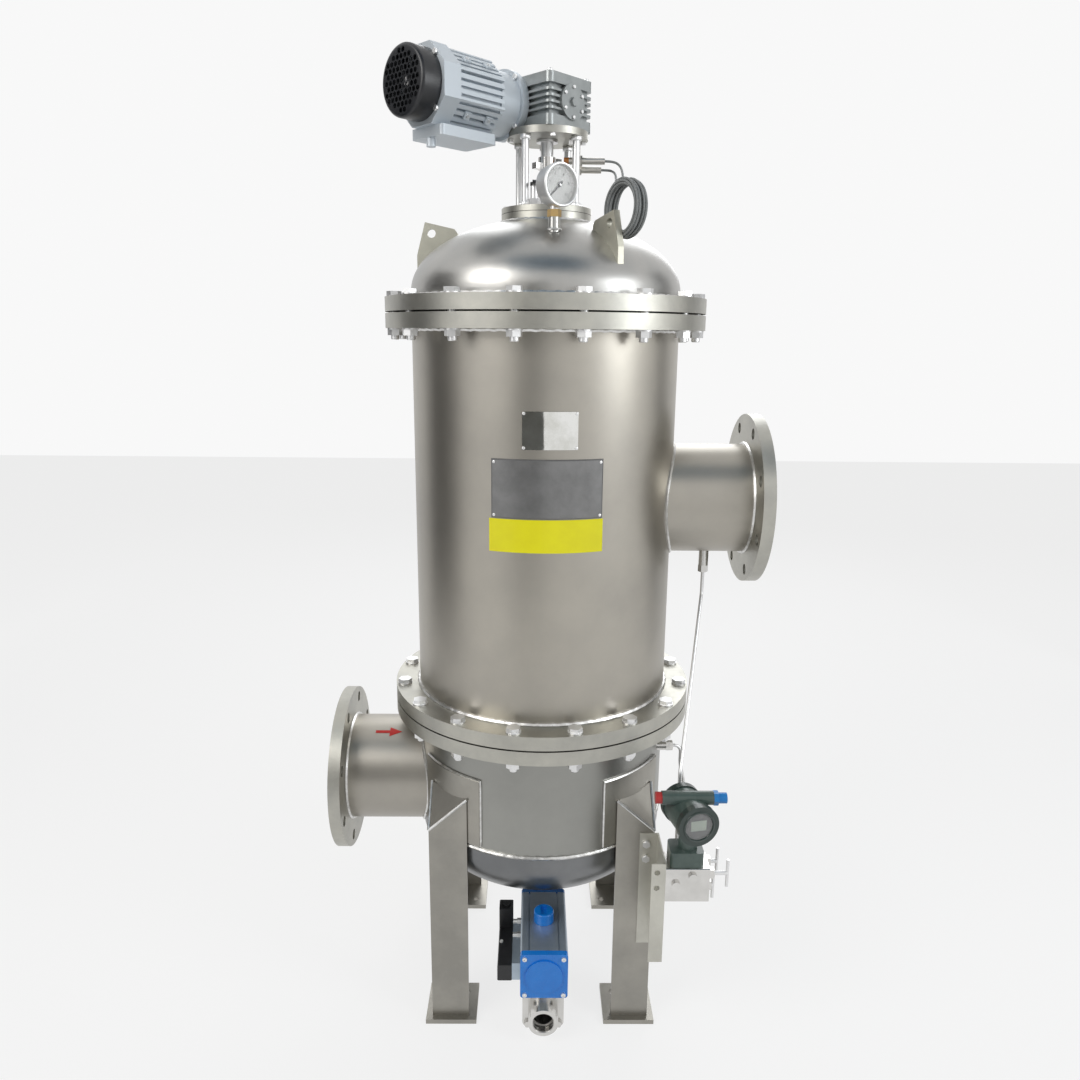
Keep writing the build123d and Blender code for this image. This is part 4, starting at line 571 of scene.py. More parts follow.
    @classmethod
    def settle(
        cls, piece: bpy.types.Object, name: str, finish: Finish | GlassFinish, slot: Slot, body: str = "vessel",
        smooth: float = 35.0,
    ) -> bpy.types.Object:
        """Bring a piece to its final state: place in the mesh, finish and body.

        Args:
            piece: Piece to finish.
            name: Its name.
            finish: Its finish.
            slot: Slot of the record; not used.
            body: Body that it rides on.
            smooth: Largest angle that is shaded smooth.

        Returns:
            The finished piece.
        """
        cls.clear()
        piece.select_set(True)
        bpy.context.view_layer.objects.active = piece
        bpy.ops.object.transform_apply(location=True, rotation=True, scale=True)
        bpy.ops.object.shade_smooth_by_angle(angle=math.radians(smooth))
        piece.name = name
        piece.data.name = name
        piece.data.materials.clear()
        piece.data.materials.append(finish.material())
        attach(piece, body)
        log.info("piece %s on %s: %d faces", name, body, len(piece.data.polygons))
        return piece


@dataclass
class CameraStand:
    """The camera, at the place and angle that the photograph was taken from."""

    place: Point = (-0.02345, -1.72832, 1.38596)
    yaw: float = math.radians(-0.562)
    pitch: float = math.radians(13.475)
    roll: float = math.radians(-0.532)
    lens: float = 28.64

    def build(self) -> None:
        """Place the camera and make it the scene's."""
        ahead = Vector((
            -math.sin(self.yaw) * math.cos(self.pitch),
            math.cos(self.yaw) * math.cos(self.pitch),
            -math.sin(self.pitch),
        ))
        right = Vector((math.cos(self.yaw), math.sin(self.yaw), 0.0))
        up = right.cross(ahead)
        tilted_right = right * math.cos(self.roll) - up * math.sin(self.roll)
        tilted_up = right * math.sin(self.roll) + up * math.cos(self.roll)
        turn = Matrix((tilted_right, tilted_up, -ahead)).transposed()
        data = bpy.data.cameras.new("camera")
        data.lens = self.lens
        data.sensor_width = 36.0
        data.clip_start = 0.05
        data.clip_end = 60.0
        camera = bpy.data.objects.new("camera", data)
        camera.matrix_world = Matrix.Translation(self.place) @ turn.to_4x4()
        bpy.context.collection.objects.link(camera)
        bpy.context.scene.camera = camera


@dataclass
class Studio:
    """Pale floor, pale surroundings and soft lamps."""

    floor_size: float = 16.0
    floor_colour: Colour = (0.86, 0.86, 0.86)
    surround: float = 0.62

    def build(self) -> None:
        """Make the floor, the world and the lamps."""
        bpy.context.scene.view_settings.view_transform = "Standard"
        self.floor()
        self.world()
        self.lamp("key", (-2.6, -2.2, 3.2), (0.0, 0.0, 1.1), 2.2, 70.0, (1.0, 0.98, 0.95))
        self.lamp("fill", (2.8, -1.6, 2.0), (0.0, 0.0, 0.9), 1.4, 34.0, (0.95, 0.98, 1.0))
        self.board("left_board", (-2.6, 0.15, 1.3), 1.9, 3.2, (0.03, 0.03, 0.03))
        self.board("right_board", (2.6, 1.0, 1.3), 0.8, 3.2, (0.12, 0.12, 0.12))
        self.board("camera_board", (-0.8, -3.4, 1.3), 1.5, 2.4, (0.16, 0.16, 0.15))
        self.board("sky_board", (0.0, -1.6, 4.2), 3.2, 2.0, (0.16, 0.27, 0.38))
        self.lamp("back", (0.4, 3.0, 3.0), (0.0, 0.0, 1.2), 2.4, 45.0, (0.96, 0.98, 1.0))

    def floor(self) -> None:
        """Lay the floor, which looks almost white to the camera but keeps the shadow."""
        Bench.clear()
        bpy.ops.mesh.primitive_plane_add(size=self.floor_size, location=(0.0, 0.0, 0.0))
        ground = bpy.context.object
        ground.name = "floor"
        material = bpy.data.materials.new("pale_floor")
        material.use_nodes = True
        tree = material.node_tree
        shader = tree.nodes["Principled BSDF"]
        shader.inputs["Base Color"].default_value = (*self.floor_colour, 1.0)
        shader.inputs["Roughness"].default_value = 0.9
        glow = tree.nodes.new("ShaderNodeEmission")
        glow.inputs["Color"].default_value = (0.96, 0.96, 0.96, 1.0)
        share = tree.nodes.new("ShaderNodeMath")
        share.operation = "MULTIPLY"
        share.inputs[1].default_value = 0.80
        tree.links.new(self.seen_rays(tree), share.inputs[0])
        mix = tree.nodes.new("ShaderNodeMixShader")
        tree.links.new(share.outputs[0], mix.inputs["Fac"])
        tree.links.new(shader.outputs["BSDF"], mix.inputs[1])
        tree.links.new(glow.outputs["Emission"], mix.inputs[2])
        tree.links.new(mix.outputs["Shader"], tree.nodes["Material Output"].inputs["Surface"])
        ground.data.materials.append(material)

    def world(self) -> None:
        """Surround the object with light that is brighter in front and dimmer at the sides."""
        world = bpy.data.worlds.new("surroundings")
        bpy.context.scene.world = world
        world.use_nodes = True
        tree = world.node_tree
        backdrop = tree.nodes["Background"]
        place = tree.nodes.new("ShaderNodeTexCoord")
        parts = tree.nodes.new("ShaderNodeSeparateXYZ")
        tree.links.new(place.outputs["Generated"], parts.inputs["Vector"])
        ramp = tree.nodes.new("ShaderNodeValToRGB")
        bands = (
            (0.0, 0.16), (0.16, 0.42), (0.30, 1.0), (0.42, 0.55), (0.62, 0.42), (0.80, 0.95), (0.92, 0.34), (1.0, 0.22),
        )
        stops = ramp.color_ramp.elements
        while len(stops) < len(bands):
            stops.new(0.5)
        for stop, (where, level) in zip(stops, bands):
            stop.position = where
            stop.color = (level, level, level * 0.98, 1.0)
        level = tree.nodes.new("ShaderNodeMapRange")
        level.inputs["From Min"].default_value = -1.0
        tree.links.new(parts.outputs["X"], level.inputs["Value"])
        tree.links.new(level.outputs["Result"], ramp.inputs["Fac"])
        tree.links.new(ramp.outputs["Color"], backdrop.inputs["Color"])
        backdrop.inputs["Strength"].default_value = self.surround
        plain = tree.nodes.new("ShaderNodeBackground")
        plain.inputs["Color"].default_value = (0.94, 0.94, 0.94, 1.0)
        mix = tree.nodes.new("ShaderNodeMixShader")
        tree.links.new(self.seen_rays(tree), mix.inputs["Fac"])
        tree.links.new(backdrop.outputs["Background"], mix.inputs[1])
        tree.links.new(plain.outputs["Background"], mix.inputs[2])
        tree.links.new(mix.outputs["Shader"], tree.nodes["World Output"].inputs["Surface"])

    @staticmethod
    def seen_rays(tree: bpy.types.NodeTree) -> bpy.types.NodeSocket:
        """Join the rays that see the background: from the camera, off gloss and through glass.

        Args:
            tree: Nodes that the joined rays are for.

        Returns:
            Socket that is 1 for such a ray.
        """
        rays = tree.nodes.new("ShaderNodeLightPath")
        gloss = tree.nodes.new("ShaderNodeMath")
        gloss.operation = "MAXIMUM"
        tree.links.new(rays.outputs["Is Camera Ray"], gloss.inputs[0])
        tree.links.new(rays.outputs["Is Glossy Ray"], gloss.inputs[1])
        glass = tree.nodes.new("ShaderNodeMath")
        glass.operation = "MAXIMUM"
        tree.links.new(gloss.outputs[0], glass.inputs[0])
        tree.links.new(rays.outputs["Is Transmission Ray"], glass.inputs[1])
        return glass.outputs[0]

    def board(self, name: str, place: Point, width: float, height: float, shade: Colour) -> None:
        """Stand a dull board beside the object, out of the camera's sight, for the metal to show.

        Args:
            name: Name of the board.
            place: Its middle.
            width: Its width.
            height: Its height.
            shade: Its colour.
        """
        Bench.clear()
        bpy.ops.mesh.primitive_plane_add(size=1.0)
        board = bpy.context.object
        board.name = name
        aim = Vector(place) - Vector((0.0, 0.0, 1.3))
        turn = aim.to_track_quat("Z", "Y").to_matrix().to_4x4()
        board.matrix_world = Matrix.Translation(place) @ turn @ Matrix.Diagonal((width, height, 1.0, 1.0))
        material = bpy.data.materials.new(name)
        material.use_nodes = True
        shader = material.node_tree.nodes["Principled BSDF"]
        shader.inputs["Base Color"].default_value = (*shade, 1.0)
        shader.inputs["Roughness"].default_value = 1.0
        board.data.materials.append(material)
        board.visible_camera = False

    @staticmethod
    def lamp(name: str, place: Point, target: Point, size: float, power: float, colour: Colour) -> None:
        """Hang one soft lamp.

        Args:
            name: Name of the lamp.
            place: Where it hangs.
            target: What it points at.
            size: Side of its square face.
            power: Power in watts.
            colour: Colour of its light.
        """
        data = bpy.data.lights.new(name, "AREA")
        data.size = size
        data.energy = power
        data.color = colour
        lamp = bpy.data.objects.new(name, data)
        aim = Vector(target) - Vector(place)
        lamp.matrix_world = Matrix.Translation(place) @ aim.to_track_quat("-Z", "Y").to_matrix().to_4x4()
        bpy.context.collection.objects.link(lamp)


@dataclass
class SensorLeads:
    """The leads of the two sensors, which run to their coils on the front right lug."""

    diameter: float = 0.0044
    length: float = 2.0
    turns: float = 6.6
    outer_turns: float = 5.6
    spacing: float = 0.0045
    first_side: float = math.radians(50.0)
    coil_points: int = 14
    lug_angle: float = math.radians(-60.0)
    coil_reach: float = 0.228
    coil_z: float = 1.594
    coil_radius: float = 0.0439
    near_place: float = 0.0129
    far_place: float = 0.0264
    upper_route: tuple[Point, ...] = (
        (0.107, -0.014, 1.699), (0.122, -0.014, 1.699), (0.133, -0.0215, 1.6925), (0.137, -0.038, 1.681),
        (0.137, -0.066, 1.664), (0.131, -0.104, 1.641), (0.121, -0.134, 1.618),
    )
    lower_route: tuple[Point, ...] = (
        (0.102, 0.006, 1.687), (0.116, 0.006, 1.687), (0.125, -0.0005, 1.6835), (0.128, -0.014, 1.676),
        (0.127, -0.040, 1.661), (0.121, -0.080, 1.639), (0.111, -0.126, 1.614),
    )

    def coil(self, place: float) -> list[Vector]:
        """Work out the turns of a coil, which start at its inner side and go down.

        The turns lie round a middle one, a diameter apart, and the last turn is the middle one.

        Args:
            place: Distance of the coil's middle from the middle of the lug plate.

        Returns:
            Points along the turns.
        """
        outward = Vector((math.cos(self.lug_angle), math.sin(self.lug_angle), 0.0))
        across = Vector((-math.sin(self.lug_angle), math.cos(self.lug_angle), 0.0))
        middle = outward * self.coil_reach + across * place + Vector((0.0, 0.0, self.coil_z))
        points = []
        for step in range(round(self.turns * self.coil_points)):
            turn = (step + 0.5) / self.coil_points
            angle = math.pi + 2 * math.pi * turn
            around = self.first_side + math.radians(60.0) * turn
            inward = min(1.0, max(0.0, (turn - self.outer_turns) / 0.25))
            layer = self.spacing * (1.0 - inward)
            radius = self.coil_radius + layer * math.cos(around)
            points.append(
                middle + outward * (radius * math.cos(angle)) + across * (layer * math.sin(around))
                + Vector((0.0, 0.0, radius * math.sin(angle)))
            )
        return points

    def lead(self, name: str, route: Sequence[Point], place: float, nodes: tuple[str, str]) -> None:
        """Draw one lead with its coil.

        Args:
            name: Name of the piece.
            route: Points from the sensor to the coil.
            place: Distance of the coil from the lug plate's middle.
            nodes: The solids that it stands for.
        """
        points = [Vector(point) for point in route] + self.coil(place)
        curve = bpy.data.curves.new(name, "CURVE")
        curve.dimensions = "3D"
        curve.bevel_depth = self.diameter / 2
        curve.bevel_resolution = 3
        curve.use_fill_caps = True
        curve.resolution_u = 6
        spline = curve.splines.new("NURBS")
        spline.points.add(len(points) - 1)
        for knot, point in zip(spline.points, points):
            knot.co = (*point, 1.0)
        spline.order_u = 3
        spline.use_endpoint_u = True
        curve.materials.append(LEAD_GREY.material())
        piece = bpy.data.objects.new(name, curve)
        bpy.context.collection.objects.link(piece)
        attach(piece, "vessel")
        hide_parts(*nodes)

    def build(self) -> None:
        """Draw both leads."""
        self.lead("sensor_lead_high", self.upper_route, self.far_place, ("sensor_lead_upper", "sensor_coil_upper"))
        self.lead("sensor_lead_low", self.lower_route, self.near_place, ("sensor_lead_lower", "sensor_coil_lower"))


@dataclass
class Vessel:
    """The vessel: finishes of its plates, weld beads, washers, bare plates and the flow arrow."""

    shell_radius: float = 0.258
    head_weld_z: float = 0.401
    bead: float = 0.0042
    outlet_z: float = 1.064
    inlet_z: float = 0.461
    nozzle_radius: float = 0.10955
    flange_radius: float = 0.3075
    flange_faces: tuple[float, ...] = (0.6225, 0.6795, 1.3945, 1.4515)
    bolt_circle: float = 0.290
    bolt_count: int = 16
    bolt_phase: float = math.radians(11.65)
    dome_tangent_z: float = 1.4615
    dome_depth: float = 0.135
    finishes: dict[str, Finish] = field(default_factory=lambda: {
        # The lower shell and the bottom head take darker steel, which is painted shade.
        "leg_plates": SHEET, "legs": SHEET, "bottom_head": BOTTOM_STEEL, "lower_shell": LOWER_STEEL,
        "upper_shell": BLASTED,
        "cover_head": HEAD_STEEL, "body_flanges": TURNED, "gaskets": GASKET, "flange_bolts": BRIGHT,
        "nozzle_pipes": BLASTED, "nozzle_flanges": TURNED, "lifting_lugs": LUG_STEEL, "screen_basket": POLISHED,
        "bottom_bearing": POLISHED, "drive_flanges": TURNED, "shaft_seal": GASKET,
    })

    def build(self) -> None:
        """Dress the vessel."""
        self.body_beads()
        self.nozzle_beads()
        self.pad_beads()
        self.washers()
        self.plates()
        self.flow_arrow()

    def dome(self, radius: float) -> float:
        """Return the height of the cover's outer surface at a radius."""
        return self.dome_tangent_z + self.dome_depth * math.sqrt(max(0.0, 1 - (radius / self.shell_radius) ** 2))

    def round_bead(self, radius: float, height: float, section: float, steps: int = 180) -> bpy.types.Object:
        """Lay a slightly rippled round bead.

        Args:
            radius: Radius of the bead.
            height: Height of the bead.
            section: Radius of its section.
            steps: Points around it.

        Returns:
            The bead.
        """
        points = []
        for step in range(steps):
            angle = 2 * math.pi * step / steps
            ripple = section * 0.18 * math.sin(step * 2.4)
            points.append(((radius + ripple) * math.cos(angle), (radius + ripple) * math.sin(angle), height + ripple))
        return Bench.bead(points, section)

    def body_beads(self) -> None:
        """Lay the welds of the head, of the body flanges and of the pad flange."""
        beads = [self.round_bead(self.shell_radius, self.head_weld_z, self.bead)]
        for number, face in enumerate(self.flange_faces):
            side = -1 if number % 2 == 0 else 1
            beads.append(self.round_bead(self.shell_radius + 0.001, face + side * 0.001, self.bead))
        beads.append(self.round_bead(0.0855, self.dome(0.0855), 0.0032, 90))
        boss = self.round_bead(0.0105, self.dome(0.176), 0.0022, 24)
        boss.data.transform(Matrix.Translation((0.011, -0.176, 0.0)))
        beads.append(boss)
        Bench.settle(Bench.join(beads), "body_welds", WELD, Slot.STAINLESS)

    def nozzle_beads(self) -> None:
        """Lay the welds where the nozzles meet the shell and where their flanges meet the pipes."""
        beads = []
        for side, height in ((1, self.outlet_z), (-1, self.inlet_z)):
            around = []
            steps = 120
            for step in range(steps):
                angle = 2 * math.pi * step / steps
                y = (self.nozzle_radius + 0.001) * math.cos(angle)
                z = height + (self.nozzle_radius + 0.001) * math.sin(angle)
                reach = self.shell_radius
                if z < 0.376:
                    reach = self.shell_radius * math.sqrt(1 - ((0.376 - z) / self.dome_depth) ** 2)
                around.append((side * (math.sqrt(reach**2 - y**2) + 0.0005), y, z))
            beads.append(Bench.bead(around, 0.0042))
            beads.append(Bench.ring(self.nozzle_radius + 0.001, 0.004, (side * 0.4055, 0, height), (1, 0, 0), 96, 6))
        Bench.settle(Bench.join(beads), "nozzle_welds", WELD, Slot.STAINLESS)

    def pad_beads(self) -> None:
        """Lay the welds around the leg pads and where the legs' caps meet them."""
        beads = []
        half = math.radians(17.5)
        for corner in range(4):
            middle = math.radians(45 + 90 * corner)
            outline = []
            for step in range(15):
                outline.append((middle - half + 2 * half * step / 14, 0.549))
            for step in range(1, 12):
                outline.append((middle + half, 0.549 - 0.139 * step / 11))
            for step in range(1, 15):
                outline.append((middle + half - 2 * half * step / 14, 0.410))
            for step in range(1, 11):
                outline.append((middle - half, 0.410 + 0.139 * step / 11))
            radius = self.shell_radius + 0.002
            points = [(radius * math.cos(angle), radius * math.sin(angle), z) for angle, z in outline]
            beads.append(Bench.bead(points, 0.003))
            turn = Matrix.Rotation(middle - math.pi / 4, 4, "Z")
            for sign in (1, -1):
                edge = []
                for step in range(7):
                    share = step / 6
                    long_side = 0.147 + 0.075 * share
                    point = (long_side, 0.222, 0.5045 - 0.0655 * share)
                    if sign < 0:
                        point = (0.222, long_side, 0.5045 - 0.0655 * share)
                    edge.append(turn @ Vector(point))
                beads.append(Bench.bead(edge, 0.0028, closed=False))
        Bench.settle(Bench.join(beads), "leg_welds", WELD, Slot.STAINLESS)

    def washers(self) -> None:
        """Put a washer under each bolt head and nut, and a rounded end on each bolt."""
        washer = Bench.drum(0.0145, 0.0025, (0, 0, 0), sides=24)
        Bench.recess(washer, 0.006, 0.0004)
        tip = Bench.drum(0.0078, 0.003, (0, 0, 0), sides=16)
        Bench.soften(tip, 0.0012, 1)
        spots = []
        tips = []
        for step in range(self.bolt_count):
            angle = self.bolt_phase + 2 * math.pi * step / self.bolt_count
            x = self.bolt_circle * math.cos(angle)
            y = self.bolt_circle * math.sin(angle)
            for number, face in enumerate(self.flange_faces):
                lift = -0.00125 if number % 2 == 0 else 0.00125
                spots.append(Matrix.Translation((x, y, face + lift)))
                if number % 2 == 0:
                    tips.append(Matrix.Translation((x, y, face - 0.0195)))
        Bench.settle(Bench.copies(washer, spots), "flange_washers", BRIGHT, Slot.BRIGHT)
        Bench.settle(Bench.copies(tip, tips), "bolt_ends", BRIGHT, Slot.BRIGHT)

    def sheet_plate(
        self, name: str, start: float, end: float, low: float, high: float, lift: float, thickness: float,
        finish: Finish, slot: Slot,
    ) -> None:
        """Bend a thin plate round the shell.

        Args:
            name: Name of the plate.
            start: Azimuth of its left edge in degrees.
            end: Azimuth of its right edge in degrees.
            low: Height of its lower edge.
            high: Height of its upper edge.
            lift: Distance of its back from the shell.
            thickness: Its thickness.
            finish: Its finish.
            slot: Slot of the record.
        """
        Bench.clear()
        bpy.ops.mesh.primitive_grid_add(x_subdivisions=24, y_subdivisions=4, size=1.0)
        plate = bpy.context.object
        radius = self.shell_radius + lift
        for vertex in plate.data.vertices:
            angle = math.radians(start + (vertex.co.x + 0.5) * (end - start))
            height = low + (vertex.co.y + 0.5) * (high - low)
            vertex.co = (radius * math.cos(angle), radius * math.sin(angle), height)
        wall = plate.modifiers.new("wall", "SOLIDIFY")
        wall.thickness = thickness
        wall.offset = 1.0
        bpy.ops.object.modifier_apply(modifier=wall.name)
        Bench.soften(plate, thickness * 0.3, 1)
        Bench.settle(plate, name, finish, slot)

    def plates(self) -> None:
        """Fix the bare plates and their rivets to the front of the shell."""
        self.sheet_plate("polished_plate", -99.3, -77.7, 1.192, 1.258, 0.0003, 0.0012, MIRROR_PLATE, Slot.BRIGHT)
        self.sheet_plate("name_plate_border", -111.6, -67.1, 1.070, 1.1756, 0.0003, 0.0008, PLATE_BORDER, Slot.MACHINED)
        self.sheet_plate("name_plate", -111.1, -67.6, 1.0722, 1.1734, 0.0012, 0.0005, PLATE_GREY, Slot.MACHINED)
        self.sheet_plate("yellow_strip", -112.6, -66.7, 1.009, 1.069, 0.0003, 0.0006, YELLOW_STRIP, Slot.WHITE)
        rivet = Bench.drum(0.0028, 0.0016, (0, 0, 0), (1, 0, 0), 16)
        Bench.soften(rivet, 0.0007, 2)
        spots = []
        corners = [(-110.4, 1.0758), (-68.3, 1.0758), (-110.4, 1.1698), (-68.3, 1.1698)]
        corners += [(-98.6, 1.1955), (-78.4, 1.1955), (-98.6, 1.2545), (-78.4, 1.2545)]
        for azimuth, height in corners:
            turn = Matrix.Rotation(math.radians(azimuth), 4, "Z")
            spots.append(turn @ Matrix.Translation((self.shell_radius + 0.0022, 0, height)))
        Bench.settle(Bench.copies(rivet, spots), "plate_rivets", BRIGHT, Slot.BRIGHT)

    def flow_arrow(self) -> None:
        """Lay the plain red flow arrow on the inlet pipe."""
        Bench.clear()
        mesh = bpy.data.meshes.new("flow_arrow")
        outline = [(-0.352, 0.0035), (-0.322, 0.0035), (-0.322, 0.012), (-0.296, 0.0)]
        outline += [(-0.322, -0.012), (-0.322, -0.0035), (-0.352, -0.0035)]
        radius = self.nozzle_radius + 0.0004
        lean = math.radians(-24.0)
        points = []
        for x, across in outline:
            angle = lean + across / radius
            points.append((x, radius * math.sin(angle), self.inlet_z + radius * math.cos(angle)))
        mesh.from_pydata(points, [], [tuple(range(len(points)))])
        arrow = bpy.data.objects.new("flow_arrow", mesh)
        bpy.context.collection.objects.link(arrow)
        arrow.select_set(True)
        bpy.context.view_layer.objects.active = arrow
        wall = arrow.modifiers.new("wall", "SOLIDIFY")
        wall.thickness = 0.0004
        wall.offset = 0.0
        bpy.ops.object.modifier_apply(modifier=wall.name)
        Bench.settle(arrow, "flow_arrow", RED, Slot.BLUE)


@dataclass
class Drive:
    """The geared brush drive on the cover: gearbox, motor, stand, sensors and vent cock."""

    turn: float = math.radians(225.0)
    worm_offset: float = 0.050
    axis_z: float = 1.7915
    gear_half: float = 0.0575
    gear_front: float = 0.061
    gear_back: float = -0.084
    gear_low: float = 1.748
    gear_high: float = 1.835
    cover_end: float = 0.294
    cover_radius: float = 0.057
    shield_end: float = 0.255
    hole_pitch: float = 0.0104
    hole_radius: float = 0.0046
    hole_reach: float = 0.047
    finishes: dict[str, Finish] = field(default_factory=lambda: {
        "stand_rods": BRIGHT, "drive_top_plate": TURNED, "gearbox_housing": GEAR_PAINT,
        "motor_end_shields": MOTOR_PAINT, "motor_frame": MOTOR_PAINT, "fan_cover": BLACK_COVER,
        "terminal_box": MOTOR_PAINT, "sensor_bracket": POLISHED, "proximity_sensors": SENSOR_TIP,
        "vent_valve": BRIGHT, "vent_lever": BLACK_COVER, "drive_shaft": BRIGHT, "trip_cam": POLISHED,
        "brush_rotor": POLISHED, "worm_wheel": BRASS, "worm_shaft": BRIGHT, "motor_fan": BLACK_COVER,
    })

    @property
    def ahead(self) -> Vector:
        """Direction of the motor."""
        return Vector((math.cos(self.turn), math.sin(self.turn), 0.0))

    @property
    def side(self) -> Vector:
        """Direction from the worm to the free side of the gearbox."""
        return Vector((-self.ahead.y, self.ahead.x, 0.0))

    def at(self, reach: float, across: float = 0.0, height: float = 0.0) -> Vector:
        """Return a point by its place along, across and above the motor's axis."""
        start = -self.worm_offset * self.side + Vector((0, 0, self.axis_z))
        return start + reach * self.ahead + across * self.side + Vector((0, 0, height))

    def build(self) -> None:
        """Dress the drive."""
        self.gearbox_screws()
        self.motor_screws()
        self.motor_pads()
        self.grille()
        self.stand_nuts()
        self.vent_parts()

    def screw(self, flats: float, height: float) -> bpy.types.Object:
        """Return a hexagon head with a turned top at the origin."""
        head = Bench.drum(flats / math.sqrt(3), height, (0, 0, height / 2), sides=6)
        Bench.soften(head, height * 0.12, 1)
        return head

    def gearbox_screws(self) -> None:
        """Set the cover screws and the mounting bolts of the gearbox."""
        spots = []
        middle = (self.gear_front + self.gear_back) / 2
        half_width = (self.gear_front - self.gear_back) / 2 - 0.010
        for u in (-0.0475, 0.0475):
            for v in (middle - half_width, middle + half_width):
                point = u * self.ahead + v * self.side
                spots.append(Matrix.Translation((point.x, point.y, self.gear_high)))
        Bench.settle(Bench.copies(self.screw(0.010, 0.005), spots), "gearbox_bolts", BRIGHT, Slot.BRIGHT)
        faces = []
        turn = self.side.to_track_quat("Z", "Y").to_matrix().to_4x4()
        for step in range(6):
            angle = math.radians(30 + 60 * step)
            point = (self.gear_front + 0.004 - 0.0) * self.side
            point = point + 0.025 * math.cos(angle) * self.ahead
            place = Vector((point.x, point.y, self.axis_z + 0.025 * math.sin(angle)))
            faces.append(Matrix.Translation(place) @ turn)
        Bench.settle(Bench.copies(self.screw(0.006, 0.003), faces), "side_cover_screws", BRIGHT, Slot.BRIGHT)

    def motor_screws(self) -> None:
        """Set the flange screws and the long through screws of the motor."""
        turn = self.ahead.to_track_quat("Z", "Y").to_matrix().to_4x4()
        spots = []
        for step in range(4):
            angle = math.radians(45 + 90 * step)
            spots.append(
                Matrix.Translation(self.at(0.072, 0.057 * math.cos(angle), 0.057 * math.sin(angle))) @ turn
            )
        for step in range(4):
            angle = math.radians(45 + 90 * step)
            spots.append(
                Matrix.Translation(self.at(self.shield_end, 0.060 * math.cos(angle), 0.060 * math.sin(angle))) @ turn
            )
        Bench.settle(Bench.copies(self.screw(0.009, 0.005), spots), "motor_screws", BRIGHT, Slot.BRIGHT)

    def motor_pads(self) -> None:
        """Set the small square pads with their threaded holes on the slanting flats of the motor's frame."""
        pad = Bench.block((0.013, 0.013, 0.006), (0, 0, 0.0))
        Bench.recess(pad, 0.0012, 0.0004)
        Bench.soften(pad, 0.0008, 2)
        hole = Bench.drum(0.0026, 0.004, (0, 0, 0.0012), sides=20)
        Bench.recess(hole, 0.0009, 0.0030)
        spots = []
        for reach in (0.142, 0.190):
            for across in (-1, 1):
                for rise in (-1, 1):
                    normal = (across * self.side + rise * Vector((0, 0, 1))).normalized()
                    if rise < 0 and across < 0:
                        continue
                    right = self.ahead
                    turn = Matrix((right, normal.cross(right), normal)).transposed().to_4x4()
                    centre = self.at(reach) + normal * 0.0605
                    spots.append(Matrix.Translation(centre) @ turn)
        pads = Bench.copies(pad, spots)
        holes = Bench.copies(hole, [spot @ Matrix.Translation((0, 0, 0.0008)) for spot in spots])
        Bench.settle(pads, "motor_pads", MOTOR_PAINT, Slot.MOTOR)
        Bench.settle(holes, "motor_pad_bushes", BRIGHT, Slot.BRIGHT)

    def grille(self) -> None:
        """Make the fan cover with its rounded shoulder and the rings of holes in its end."""
        turn = self.ahead.to_track_quat("Z", "Y").to_matrix().to_4x4()
        length = self.cover_end - self.shield_end
        cup = Bench.drum(self.cover_radius, length, (0, 0, length / 2), sides=96)
        Bench.pick(cup, lambda centre, normal: normal.z < -0.9)
        bpy.ops.mesh.delete(type="FACE")
        bpy.ops.object.mode_set(mode="OBJECT")
        Bench.soften(cup, 0.006, 4)
        wall = cup.modifiers.new("wall", "SOLIDIFY")
        wall.thickness = 0.0015
        wall.offset = -1.0
        bpy.ops.object.modifier_apply(modifier=wall.name)
        holes = []
        for row in range(-5, 6):
            for column in range(-6, 7):
                x = self.hole_pitch * (column + 0.5 * (row % 2))
                y = self.hole_pitch * row * math.sqrt(3) / 2
                if math.hypot(x, y) < self.hole_reach:
                    holes.append(Matrix.Translation((x, y, length)))
        drill = Bench.drum(self.hole_radius, 0.012, (0, 0, 0), sides=6)
        cutter = Bench.copies(drill, holes)
        cut = cup.modifiers.new("holes", "BOOLEAN")
        cut.object = cutter
        cut.solver = "EXACT"
        Bench.clear()
        bpy.context.view_layer.objects.active = cup
        bpy.ops.object.modifier_apply(modifier=cut.name)
        bpy.data.objects.remove(cutter)
        Bench.place(cup, Matrix.Translation(self.at(self.shield_end)) @ turn)
        Bench.settle(cup, "fan_cover_shell", BLACK_COVER, Slot.BLACK)
        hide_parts("fan_cover")

    def stand_nuts(self) -> None:
        """Put the nuts on the feet of the stand rods."""
        spots = []
        for step in range(4):
            angle = math.radians(-37.4 + 90 * step)
            spots.append(Matrix.Translation((0.066 * math.cos(angle), 0.066 * math.sin(angle), 1.614)))
            spots.append(Matrix.Translation((0.066 * math.cos(angle), 0.066 * math.sin(angle), 1.728)))
        nut = self.screw(0.019, 0.008)
        Bench.settle(Bench.copies(nut, spots), "stand_nuts", BRIGHT, Slot.BRIGHT)
        studs = []
        for step in range(8):
            angle = math.radians(7.6 + 45 * step)
            studs.append(Matrix.Translation((0.078 * math.cos(angle), 0.078 * math.sin(angle), 1.614)))
        Bench.settle(Bench.copies(self.screw(0.008, 0.004), studs), "base_flange_screws", BRIGHT, Slot.BRIGHT)

    def vent_parts(self) -> None:
        """Put the small nut on top of the vent cock's lever."""
        nut = self.screw(0.008, 0.003)
        Bench.settle(Bench.copies(nut, [Matrix.Translation((-0.023, -0.056, 1.6562))]), "vent_nut", BRIGHT, Slot.BRIGHT)


